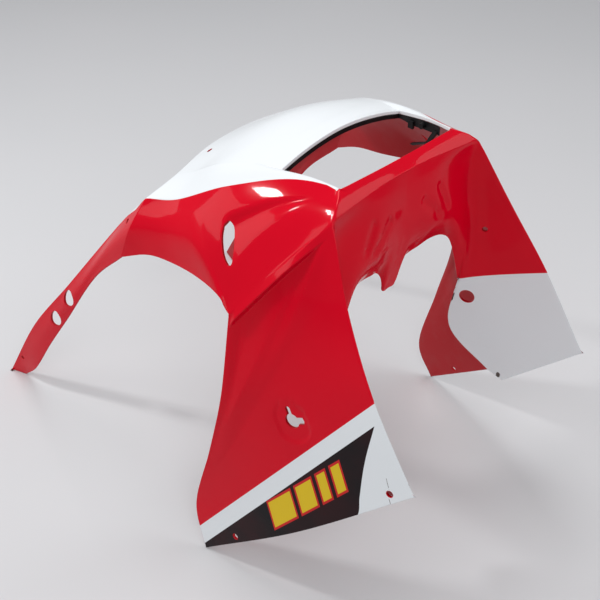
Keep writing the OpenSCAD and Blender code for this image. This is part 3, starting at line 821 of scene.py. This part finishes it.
def holes():
    """Outline, centre, axis and up direction of every hole in the left half."""
    length = np.linalg.norm(vent_end - vent_top)
    for side in (0.5, -0.5):
        centre = mirror_c + side * MIRROR_PITCH * mirror_along
        yield oval(*MIRROR_OVAL), centre + MIRROR_SHIFT * mirror_off_edge, mirror_axis, mirror_along
    yield disc(SCREEN_HOLE_D, 24), tip_c, tip_n, UP
    yield disc(SCREEN_HOLE_D, 24), side_c, side_n, UP
    yield disc(SCREEN_HOLE_D, 24), front_c, unit(P(-0.35, 0, 0.94)), P(1, 0, 0)
    for u, v in ((0.19, 0.9664), (0.917, 0.9643)):
        yield disc(FLANK_HOLE_D, 24), spot(plain(flank, False), u, v)[0], flank_axis, UP
    yield disc(ACCESS_HOLE_D, 40), access_c, access_n, UP
    yield disc(SCREEN_HOLE_D, 24), peg_c, access_n, UP
    yield signal_outline(SIGNAL_HOLE_D / 2), SIGNAL_C, SIGNAL_AXIS, SIGNAL_UP
    slit = [(0, 0), (0.12, -3.4), (0.3, -5.2), (0.55, -5.6), (0.8, -4.6), (0.99, -2.6)]
    slit += [(1.0, 1.5), (0.8, 5.2), (0.55, 6.4), (0.32, 6.2), (0.12, 4.2)]
    outline = rounded_outline([(t * length, side) for t, side in slit], 6)
    yield outline, vent_top, VENT_AXIS, vent_end - vent_top


def signal_outline(r):
    """Round hole with a key slot upwards and a wider lobe to one side."""
    key_w, key_l = 0.33 * r, 2.05 * r
    lobe_w, lobe_l = 0.48 * r, 1.75 * r
    a0 = np.arcsin(key_w / r)
    b0 = np.arcsin(lobe_w / r)
    out = []
    tip = np.linspace(-np.pi / 2, np.pi / 2, 9)
    out += [(key_l - key_w + key_w * np.cos(t), key_w * np.sin(t)) for t in tip]
    turn = np.pi / 2 + 0.08
    out += [(r * np.cos(t), r * np.sin(t)) for t in np.linspace(a0, turn - b0, 5)]
    c, s = np.cos(turn), np.sin(turn)
    lobe = [(lobe_l, -lobe_w), (lobe_l + 0.12 * r, 0.0), (lobe_l, lobe_w)]
    out += [(c * x - s * y, s * x + c * y) for x, y in lobe]
    out += [(r * np.cos(t), r * np.sin(t)) for t in np.linspace(turn + b0, 2 * np.pi - a0, 24)]
    return np.array(out)


wall = Shell()
for outline, centre, axis, up in holes():
    for side in (1, -1):
        mirror = P(1, side, 1)
        wall.cut(outline * (1, side), centre * mirror, axis * mirror, up * mirror)
shell = make_object("cowl_shell", *wall.mesh())


# ---------------------------------------------------------------- headlight bracket
def strip_grid():
    """Cross-sections of the strip under the lip, from one end of it to the other."""
    us = HOOD_T[HOOD_T <= STRIP_END]
    g = lip(us, np.array([0.0, 1.0]))[:, 1]
    share = np.minimum(us / RIM_SHARE, 1.5)[:, None]
    back = unit(P(-1, 0, 0) + 0.4 * share * P(0, 1, 0))
    shallow = 0.5 + 0.5 * smooth(RIM_SHARE, RIM_SHARE + 0.12, us)[:, None]
    r, t, h = STRIP_CORNER, STRIP_T, STRIP_DEPTH
    section = (r, 0), (t - r, 0), (t, r), (t, h - r), (t - r, h), (r, h), (0, h - r), (0, r)
    left = np.stack([
        g + out * back - (SEAT_GAP + down * shallow) * P(0, 0, 1) for out, down in section
    ], 1)
    right = left[:0:-1] * P(1, -1, 1)
    return np.concatenate([right, left])


def loft(rings):
    m, n = rings.shape[:2]
    faces = [
        [i * n + k, i * n + (k + 1) % n, (i + 1) * n + (k + 1) % n, (i + 1) * n + k]
        for i in range(m - 1) for k in range(n)
    ]
    faces += [list(range(n))[::-1], [(m - 1) * n + k for k in range(n)]]
    return rings.reshape(-1, 3), faces


def block(low, high):
    """Box between two corners."""
    x = np.array([[low[i] if not b >> i & 1 else high[i] for i in range(3)] for b in range(8)])
    return x, [[0, 2, 3, 1], [4, 5, 7, 6], [0, 1, 5, 4], [2, 6, 7, 3], [0, 4, 6, 2], [1, 3, 7, 5]]


def between(c1, size1, c2, size2):
    """Bar with a box-shaped section that runs from one block to another."""
    v1, f = block(c1 - size1 / 2, c1 + size1 / 2)
    v2, _ = block(c2 - size2 / 2, c2 + size2 / 2)
    return np.where(np.array([b & 4 for b in range(8)])[:, None] > 0, v1, v2), f


def bracket_pieces():
    yield loft(strip_grid())
    us = np.array([RIM_SHARE + (1 - RIM_SHARE) * k / 4 for k in (1, 2, 3)])
    ends = lip(us, np.array([0, 1.0]))[:, 1]
    hook_top = ends[2] + P(-1, 0.5, 1 - STRIP_DEPTH)
    hook_low = hook_top - P(6, 6, 12)
    for sign in (1, -1):
        m = P(1, sign, 1)
        lug_low = ends[0] - P(2, 2.4, STRIP_DEPTH + 2)
        parts = [block(lug_low, lug_low + P(6, 3, 8))]
        parts.append(between(hook_top, P(5, 3, 4), hook_low, P(4, 3, 3)))
        parts.append(between(hook_low, P(4, 3, 3), hook_low - P(14, 3, 3), P(4, 5, 2)))
        boss = ends[1] + P(-0.5, 0.6, -STRIP_DEPTH / 2)
        parts.append(prism(disc(6, 24), boss - P(0, 2.5, 0), P(0, 1, 0), P(0, 0, 1), 2.5))
        for v, f in parts:
            yield v * m, f


def volume(verts, faces):
    """Sum over the faces' fans of a . (b x c) / 6, above zero where the faces look out."""
    return sum(
        verts[f[0]] @ np.cross(verts[f[k]], verts[f[k + 1]])
        for f in faces for k in range(1, len(f) - 1)
    ) / 6


def bracket_mesh():
    verts, faces, base = [], [], 0
    for v, f in bracket_pieces():
        if volume(v - v.mean(0), f) < 0:
            f = [g[::-1] for g in f]
        verts.append(v)
        faces += [[base + i for i in g] for g in f]
        base += len(v)
    return np.vstack(verts), faces


bracket = make_object("bracket_strip", *bracket_mesh())
bevel = bracket.modifiers.new("edges", "BEVEL")
bevel.width, bevel.segments, bevel.limit_method, bevel.angle_limit = 0.4 * MM, 2, "ANGLE", 0.7

# ---------------------------------------------------------------- finishes
def srgb(r, g, b):
    """Colour of a screen value from 0 to 255, as Blender's linear light."""
    c = np.array([r, g, b]) / 255
    return (*np.where(c < 0.04045, c / 12.92, ((c + 0.055) / 1.055) ** 2.4), 1.0)


RED, WHITE = srgb(206, 0, 30), srgb(222, 226, 229)
DECAL_BLACK, DECAL_YELLOW, DECAL_RED = srgb(18, 19, 21), srgb(214, 182, 36), srgb(196, 38, 36)
BARE_PLASTIC, GRIME, BACK_RED = srgb(206, 204, 200), srgb(88, 78, 74), srgb(172, 4, 20)
BRACKET_BLACK, DUST = srgb(16, 16, 18), 0.5


class Sketch:
    """A node tree written as sums: each call adds a node and hands back its output."""

    def __init__(self, tree):
        self.tree = tree

    def put(self, kind, **fields):
        node = self.tree.nodes.new(kind)
        for name, value in fields.items():
            setattr(node, name, value)
        return node

    def feed(self, socket, value):
        if isinstance(value, bpy.types.NodeSocket):
            self.tree.links.new(value, socket)
        elif value is not None:
            socket.default_value = value

    def math(self, operation, *values, clamp=False):
        node = self.put("ShaderNodeMath", operation=operation, use_clamp=clamp)
        for socket, value in zip(node.inputs, values):
            self.feed(socket, value)
        return node.outputs[0]

    def vector(self, operation, *values, out=0):
        node = self.put("ShaderNodeVectorMath", operation=operation)
        for socket, value in zip(node.inputs, values):
            self.feed(socket, value)
        return node.outputs[out]

    def step(self, value, start, end):
        """0 before start and 1 after end, or the other way round where start is the larger."""
        node = self.put("ShaderNodeMapRange", interpolation_type="SMOOTHSTEP")
        for socket, v in zip(node.inputs, (value, start, end)):
            self.feed(socket, v)
        return node.outputs[0]

    def blend(self, share, first, second):
        node = self.put("ShaderNodeMix", data_type="RGBA")
        for socket, v in ((0, share), (6, first), (7, second)):
            self.feed(node.inputs[socket], v)
        return node.outputs[2]

    def noise(self, place, scale, detail=2.0, rough=0.5):
        node = self.put("ShaderNodeTexNoise")
        values = {"Vector": place, "Scale": scale, "Detail": detail, "Roughness": rough}
        for name, value in values.items():
            self.feed(node.inputs[name], value)
        return node.outputs[0]

    def split(self, place):
        node = self.put("ShaderNodeSeparateXYZ")
        self.feed(node.inputs[0], place)
        return node.outputs

    def curve(self, value, points):
        """Curve through a few points whose places and values lie between 0 and 1."""
        node = self.put("ShaderNodeFloatCurve")
        self.feed(node.inputs["Value"], value)
        line = node.mapping.curves[0]
        while len(line.points) < len(points):
            line.points.new(0.5, 0.5)
        for point, (x, y) in zip(line.points, sorted(points)):
            point.location, point.handle_type = (x, y), "AUTO"
        node.mapping.update()
        return node.outputs[0]

    def use(self, group, out=0, **values):
        node = self.put("ShaderNodeGroup", node_tree=group)
        for name, value in values.items():
            self.feed(node.inputs[name.replace("_", " ")], value)
        return node.outputs if out is None else node.outputs[out]


def new_group(name, inputs, outputs):
    """Empty node group with named sockets, its sketch, its inputs and its outputs."""
    tree = bpy.data.node_groups.new(name, "ShaderNodeTree")
    for io, sockets in (("INPUT", inputs), ("OUTPUT", outputs)):
        for label, kind, value in sockets:
            socket = tree.interface.new_socket(label, in_out=io, socket_type="NodeSocket" + kind)
            if value is not None:
                socket.default_value = value
    sketch = Sketch(tree)
    return tree, sketch, sketch.put("NodeGroupInput").outputs, sketch.put("NodeGroupOutput").inputs


def drawing_place_group():
    """Object coordinates as millimetres of the drawing's own frame."""
    tree, k, _, out = new_group("drawing_place", [], [("Place", "Vector", None)])
    own = k.put("ShaderNodeTexCoord").outputs["Object"]
    k.feed(out["Place"], k.vector("MULTIPLY_ADD", own, (1000, 1000, 1000), tuple(-DATUM)))
    return tree


def line_side_group():
    """How far a place lies beyond a line drawn across the machine's side view, in mm."""
    tree, k, given, out = new_group(
        "line_side",
        [("Place", "Vector", None), ("Point", "Vector", None), ("Across", "Vector", None)],
        [("Beyond", "Float", None)],
    )
    away = k.vector("SUBTRACT", given["Place"], given["Point"])
    k.feed(out["Beyond"], k.vector("DOT_PRODUCT", away, given["Across"], out=1))
    return tree


def hairline_group():
    """Mask of a fine wavering line between two places."""
    tree, k, given, out = new_group(
        "hairline",
        [("Place", "Vector", None), ("From", "Vector", None), ("To", "Vector", None),
         ("Width", "Float", 0.4), ("Waver", "Float", 0.5)],
        [("Mask", "Float", None)],
    )
    reach = k.vector("SUBTRACT", given["To"], given["From"])
    away = k.vector("SUBTRACT", given["Place"], given["From"])
    share = k.math(
        "DIVIDE", k.vector("DOT_PRODUCT", away, reach, out=1),
        k.vector("DOT_PRODUCT", reach, reach, out=1), clamp=True,
    )
    node = k.put("ShaderNodeVectorMath", operation="SCALE")
    k.feed(node.inputs[0], reach)
    k.feed(node.inputs["Scale"], share)
    gap = k.vector("LENGTH", k.vector("SUBTRACT", away, node.outputs[0]), out=1)
    wave = k.math("SUBTRACT", k.noise(given["Place"], 0.45), 0.5)
    wave = k.math("MULTIPLY", wave, given["Waver"])
    gap = k.math("ADD", gap, k.math("MULTIPLY", wave, 2.0))
    taper = k.math("MULTIPLY", share, k.math("SUBTRACT", 1.0, share))
    width = k.math("MULTIPLY", given["Width"], k.math("ADD", 0.35, k.math("MULTIPLY", taper, 2.6)))
    k.feed(out["Mask"], k.step(k.math("DIVIDE", gap, width), 1.0, 0.4))
    return tree


def chip_group():
    """Mask of a ragged spot round a place, as long each way as Reach says."""
    tree, k, given, out = new_group(
        "chip",
        [("Place", "Vector", None), ("Centre", "Vector", None), ("Reach", "Vector", (1, 1, 1))],
        [("Mask", "Float", None)],
    )
    away = k.vector("DIVIDE", k.vector("SUBTRACT", given["Place"], given["Centre"]), given["Reach"])
    ragged = k.math("MULTIPLY", k.math("SUBTRACT", k.noise(given["Place"], 0.9, 3.0), 0.5), 1.1)
    k.feed(out["Mask"], k.step(k.math("ADD", k.vector("LENGTH", away, out=1), ragged), 1.05, 0.9))
    return tree


def used_lacquer_group():
    """Clear-coated paint that was polished often: orange peel, swirls, dust and dull spots."""
    tree, k, given, out = new_group(
        "used_lacquer",
        [("Place", "Vector", None), ("Paint", "Color", RED), ("Dust", "Float", 0.5)],
        [("Color", "Color", None), ("Roughness", "Float", None), ("Height", "Float", None)],
    )
    place = given["Place"]
    cloud = k.noise(place, 0.012, 3.0)
    tone = k.step(cloud, 0.25, 0.75)
    shade = k.blend(k.math("MULTIPLY", tone, 0.1), given["Paint"], srgb(120, 4, 20))
    white = k.step(k.vector("DOT_PRODUCT", given["Paint"], (0, 1, 0), out=1), 0.3, 0.5)
    shade = k.blend(white, shade, given["Paint"])
    grain = k.put("ShaderNodeTexVoronoi", feature="F1")
    k.feed(grain.inputs["Vector"], place)
    k.feed(grain.inputs["Scale"], 0.16)
    speck_size = k.math("MULTIPLY", k.noise(place, 0.05, 1.0), 0.055)
    speck = k.step(grain.outputs["Distance"], speck_size, k.math("MULTIPLY", speck_size, 0.4))
    dusty = k.math("MULTIPLY", given["Dust"], k.step(k.noise(place, 0.03), 0.45, 0.7))
    speck = k.math("MULTIPLY", speck, dusty)
    k.feed(out["Color"], k.blend(k.math("MULTIPLY", speck, 0.6), shade, srgb(190, 180, 176)))
    streak = k.noise(k.vector("MULTIPLY", place, (0.02, 0.3, 0.9)), 1.0, 5.0, 0.7)
    rough = k.math("ADD", 0.13, k.math("MULTIPLY", k.step(streak, 0.45, 0.8), 0.07))
    rough = k.math("ADD", rough, k.math("MULTIPLY", speck, 0.3))
    k.feed(out["Roughness"], k.math("ADD", rough, k.math("MULTIPLY", cloud, 0.06)))
    peel = k.math("MULTIPLY", k.noise(place, 0.32, 1.0, 0.4), 0.012)
    sink = k.math("MULTIPLY", k.noise(place, 0.03, 2.0, 0.4), 0.22)
    k.feed(out["Height"], k.math("ADD", peel, sink))
    return tree


PLACE, LINE_SIDE, HAIRLINE = drawing_place_group(), line_side_group(), hairline_group()
CHIP, USED_LACQUER = chip_group(), used_lacquer_group()
EDGE = 0.16


def side_normal(start, end):
    """Direction square to a line of the side view, on the side of the flank's lower edge."""
    d = unit(np.subtract(end, start))
    return (float(d[1]), 0.0, float(-d[0]))


def beyond(k, place, start, end):
    point = start[0], 0, start[1]
    return k.use(LINE_SIDE, Place=place, Point=point, Across=side_normal(start, end))


# Half width of the hood's white field at places along the machine, and where it ends
HOOD_HALF = [
    (-140, 144), (-127, 140), (-87, 130), (-33, 115), (20, 92), (45, 82.5), (60, 79), (73, 76),
]
HOOD_START, HOOD_SPAN, HOOD_WIDEST, HOOD_END, HOOD_LOW = -140.0, 200.0, 150.0, 72.5, 340.0


def hood_paint(k, place):
    """White over the hood, narrower towards the headlight opening, and red elsewhere."""
    x, y, z = k.split(place)
    half = k.curve(
        k.math("DIVIDE", k.math("ADD", x, -HOOD_START), HOOD_SPAN, clamp=True),
        [((a - HOOD_START) / HOOD_SPAN, b / HOOD_WIDEST) for a, b in HOOD_HALF],
    )
    inner = k.math("SUBTRACT", k.math("MULTIPLY", half, HOOD_WIDEST), k.math("ABSOLUTE", y))
    rear = k.math("MINIMUM", k.math("SUBTRACT", HOOD_END, x), k.math("SUBTRACT", z, HOOD_LOW))
    field = k.step(k.math("MINIMUM", inner, rear), -EDGE, EDGE)
    return k.blend(field, RED, WHITE), field


# Lines of the side view, and the front edge of the black field as places by their height
FLANK_LINE = (-12.6, 24.0), (174.0, 301.0)
BLACK_LINE = (-2.6, 5.3), (177.1, 277.0)
WEB_LINE = (89.0, 268.0), (174.0, 301.0)
BLACK_FRONT = [(0, 100), (172.6, 178.3), (194, 176.5), (233.2, 174.8), (277, 177.1), (300, 178)]
BLACK_TALLEST, BLACK_LONGEST = 300.0, 200.0
BARS_START, BARS_ALONG, BARS_ACROSS = P(84, 0, 109.5), P(0.595, 0, 0.804), P(0.804, 0, -0.595)
BARS = [(0, 44), (49, 79), (84, 101), (106, 123)]
BAR_HALF, BAR_SLANT, BAR_TRIM = 15.0, 0.49, 2.4


def flank_paint(k, place):
    """White corner on both flanks, and on the right one a black field with slanted bars."""
    x, y, z = k.split(place)
    white = k.step(beyond(k, place, *FLANK_LINE), -EDGE, EDGE)
    paint = k.blend(white, RED, WHITE)
    front = k.curve(
        k.math("DIVIDE", z, BLACK_TALLEST, clamp=True),
        [(a / BLACK_TALLEST, b / BLACK_LONGEST) for a, b in BLACK_FRONT],
    )
    behind_front = k.math("SUBTRACT", k.math("MULTIPLY", front, BLACK_LONGEST), x)
    field = k.math("MINIMUM", beyond(k, place, *BLACK_LINE), behind_front)
    right = k.math("LESS_THAN", y, 0.0)
    black = k.math("MULTIPLY", k.step(field, -EDGE, EDGE), right)
    paint = k.blend(black, paint, DECAL_BLACK)
    away = k.vector("SUBTRACT", place, tuple(BARS_START))
    across = k.vector("DOT_PRODUCT", away, tuple(BARS_ACROSS), out=1)
    run = k.vector("DOT_PRODUCT", away, tuple(BARS_ALONG), out=1)
    run = k.math("ADD", run, k.math("MULTIPLY", across, BAR_SLANT))
    side = k.math("SUBTRACT", k.math("ABSOLUTE", across), BAR_HALF)
    nearest_bar = None
    for first, last in BARS:
        middle = k.math("SUBTRACT", run, (first + last) / 2)
        gap = k.math("SUBTRACT", k.math("ABSOLUTE", middle), (last - first) / 2)
        nearest_bar = gap if nearest_bar is None else k.math("MINIMUM", nearest_bar, gap)
    gap = k.math("MAXIMUM", nearest_bar, side)
    trim = k.math("MULTIPLY", k.step(gap, EDGE, -EDGE), black)
    paint = k.blend(trim, paint, DECAL_RED)
    fill = k.math("MULTIPLY", k.step(gap, EDGE - BAR_TRIM, -EDGE - BAR_TRIM), black)
    return k.blend(fill, paint, DECAL_YELLOW), k.math("ADD", white, k.math("MULTIPLY", black, 0.6))


def web_paint(k, place):
    """White over the lower part of each inner panel."""
    white = k.step(beyond(k, place, *WEB_LINE), -EDGE, EDGE)
    return k.blend(white, RED, WHITE), white


# Wear that the photograph shows: ends of each line, or centre and reach of each chip
CRACKS = [
    ((202.6, -140.7, 218.3), (197.5, -139.9, 229.4), 0.5),
    ((204.4, -142.0, 208.6), (207.2, -142.4, 203.2), 0.5),
    ((41.3, -191.2, 38.2), (44.6, -190.5, 41.2), 0.6),
]
CHIPS = [
    ((220.7, -134.7, 235.2), (2.2, 2.6, 3.2)), ((0.0, 198.0, 9.0), (4.0, 4.0, 8.5)),
    ((90.0, 101.0, 433.0), (1.6, 2.5, 2.5)), ((147.0, 112.5, 156.0), (2.5, 2.5, 3.5)),
]


def new_material(name):
    """Material, its sketch and the inputs of its shader."""
    mat = bpy.data.materials.new(name)
    mat.use_nodes = True
    return mat, Sketch(mat.node_tree), mat.node_tree.nodes["Principled BSDF"].inputs


def lacquer(name, painted, dust):
    """Clear-coated paint on the moulding, with its colour fields, cracks and chips."""
    mat, k, look = new_material(name)
    place = k.use(PLACE)
    paint, film = painted(k, place)
    colour, rough, height = k.use(USED_LACQUER, out=None, Place=place, Paint=paint, Dust=dust)
    height = k.math("ADD", height, k.math("MULTIPLY", film, 0.08))
    for start, end, width in CRACKS:
        mask = k.use(HAIRLINE, Place=place, From=start, To=end, Width=width, Waver=0.6)
        colour = k.blend(k.math("MULTIPLY", mask, 0.85), colour, GRIME)
        height = k.math("SUBTRACT", height, k.math("MULTIPLY", mask, 0.15))
    for centre, reach in CHIPS:
        mask = k.use(CHIP, Place=place, Centre=centre, Reach=reach)
        colour = k.blend(mask, colour, BARE_PLASTIC if centre[0] < 50 else GRIME)
        rough = k.math("ADD", rough, k.math("MULTIPLY", mask, 0.4))
        height = k.math("SUBTRACT", height, k.math("MULTIPLY", mask, 0.12))
    bump = k.put("ShaderNodeBump")
    k.feed(bump.inputs["Distance"], 0.001)
    k.feed(bump.inputs["Strength"], 0.5)
    k.feed(bump.inputs["Height"], height)
    k.feed(look["Base Color"], colour)
    k.feed(look["Roughness"], rough)
    k.feed(look["Normal"], bump.outputs[0])
    k.feed(look["Specular IOR Level"], 0.03)
    k.feed(look["Coat Weight"], 0.2)
    k.feed(look["Coat Roughness"], 0.03)
    return mat


def moulded_plastic(name, colour, rough, grain_size, grain_depth):
    """Unpainted plastic with the mould's fine grain and some dust in random patches."""
    mat, k, look = new_material(name)
    place = k.use(PLACE)
    dust = k.math("MULTIPLY", k.step(k.noise(place, 0.05, 5.0, 0.65), 0.45, 0.75), 0.05)
    grain = k.noise(place, grain_size, 2.0)
    k.feed(look["Base Color"], k.blend(dust, colour, srgb(150, 132, 128)))
    k.feed(look["Roughness"], k.math("ADD", rough, k.math("MULTIPLY", grain, 0.15)))
    k.feed(look["Specular IOR Level"], 0.2)
    bump = k.put("ShaderNodeBump")
    k.feed(bump.inputs["Distance"], 0.001)
    k.feed(bump.inputs["Height"], k.math("MULTIPLY", grain, grain_depth))
    k.feed(look["Normal"], bump.outputs[0])
    return mat


# In the order of SCHEMES
for finish in (
    lacquer("hood_lacquer", hood_paint, DUST), lacquer("flank_lacquer", flank_paint, DUST),
    lacquer("panel_lacquer", web_paint, DUST),
    moulded_plastic("moulding_back", BACK_RED, 0.32, 0.9, 0.03),
):
    shell.data.materials.append(finish)
bracket.data.materials.append(
    moulded_plastic("bracket_plastic", BRACKET_BLACK, 0.42, 1.6, 0.05)
)

for piece, node, slot in (
    (shell, "upper_cowl", "cowl_paint"),
    (bracket, "headlight_bracket", "bracket_black"),
):
    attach(piece, "root")
    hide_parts(node)


# ---------------------------------------------------------------- stage, light and camera
SWEEP_FRONT, SWEEP_FOOT, SWEEP_RADIUS, SWEEP_HALF = -3.0, 1.6, 1.4, 4.0


def make_backdrop():
    """Floor that sweeps up behind the part: height = radius (1 - cos t) over a quarter turn."""
    t = np.linspace(0, np.pi / 2, 24)[1:]
    run = np.concatenate([[SWEEP_FRONT, SWEEP_FOOT], SWEEP_FOOT + SWEEP_RADIUS * np.sin(t)])
    rise = np.concatenate([[0.0, 0.0], SWEEP_RADIUS * (1 - np.cos(t))])
    away = P(-np.sin(CAMERA_TURN), np.cos(CAMERA_TURN), 0)
    side = P(np.cos(CAMERA_TURN), np.sin(CAMERA_TURN), 0)
    line = run[:, None] * away + rise[:, None] * P(0, 0, 1)
    verts = np.concatenate([line - SWEEP_HALF * side, line + SWEEP_HALF * side])
    n = len(run)
    mesh = bpy.data.meshes.new("floor")
    mesh.from_pydata(verts.tolist(), [], [(i, n + i, n + i + 1, i + 1) for i in range(n - 1)])
    mesh.polygons.foreach_set("use_smooth", np.ones(n - 1, bool))
    floor = placed("floor", mesh)
    mat, k, look = new_material("paper_sweep")
    own = k.put("ShaderNodeTexCoord").outputs["Object"]
    tones = srgb(208, 208, 210), srgb(203, 204, 206)
    k.feed(look["Base Color"], k.blend(k.noise(own, 2.0, 2.0), *tones))
    k.feed(look["Roughness"], 0.75)
    k.feed(look["Specular IOR Level"], 0.2)
    mesh.materials.append(mat)


def softbox(name, place, target, size, power):
    light = bpy.data.lights.new(name, "AREA")
    light.shape, light.size, light.size_y = "RECTANGLE", size[0], size[1]
    light.energy = power
    lamp = placed(name, light)
    lamp.location = place
    lamp.rotation_mode = "QUATERNION"
    lamp.rotation_quaternion = (Vector(target) - Vector(place)).to_track_quat("-Z", "Y")


CAMERA_PLACE = P(543.61, -590.95, 876.43)
CAMERA_TURN, CAMERA_RISE = np.radians(45.22), np.radians(38.34)
cam_data = bpy.data.cameras.new("camera")
cam_data.lens, cam_data.sensor_width = 57.0, 36.0
camera = placed("camera", cam_data)
back = Vector((
    np.sin(CAMERA_TURN) * np.cos(CAMERA_RISE),
    -np.cos(CAMERA_TURN) * np.cos(CAMERA_RISE),
    np.sin(CAMERA_RISE),
))
camera.location = row(CAMERA_PLACE)
camera.rotation_mode = "QUATERNION"
camera.rotation_quaternion = (-back).to_track_quat("-Z", "Y")
bpy.context.scene.camera = camera
bpy.context.scene.view_settings.view_transform = "Standard"

make_backdrop()
softbox("overhead", (-0.45, 0.15, 2.3), (0, 0, 0.1), (0.9, 0.8), 17)
softbox("left_bank", (-1.25, -1.2, 1.05), (0, 0, 0.3), (0.9, 0.7), 5)
softbox("right_bank", (1.15, 1.0, 1.1), (0, 0, 0.3), (0.8, 0.8), 6)
softbox("front_bank", (1.3, -1.05, 1.7), (0.1, 0, 0.3), (1.1, 1.1), 12)
softbox("key", (-0.88, -0.84, 1.5), (0, -0.1, 0.42), (0.13, 0.15), 8)

world = bpy.data.worlds.new("studio")
world.use_nodes = True
sky = world.node_tree.nodes["Background"]
sky.inputs["Color"].default_value = (0.41, 0.41, 0.42, 1)
bpy.context.scene.world = world
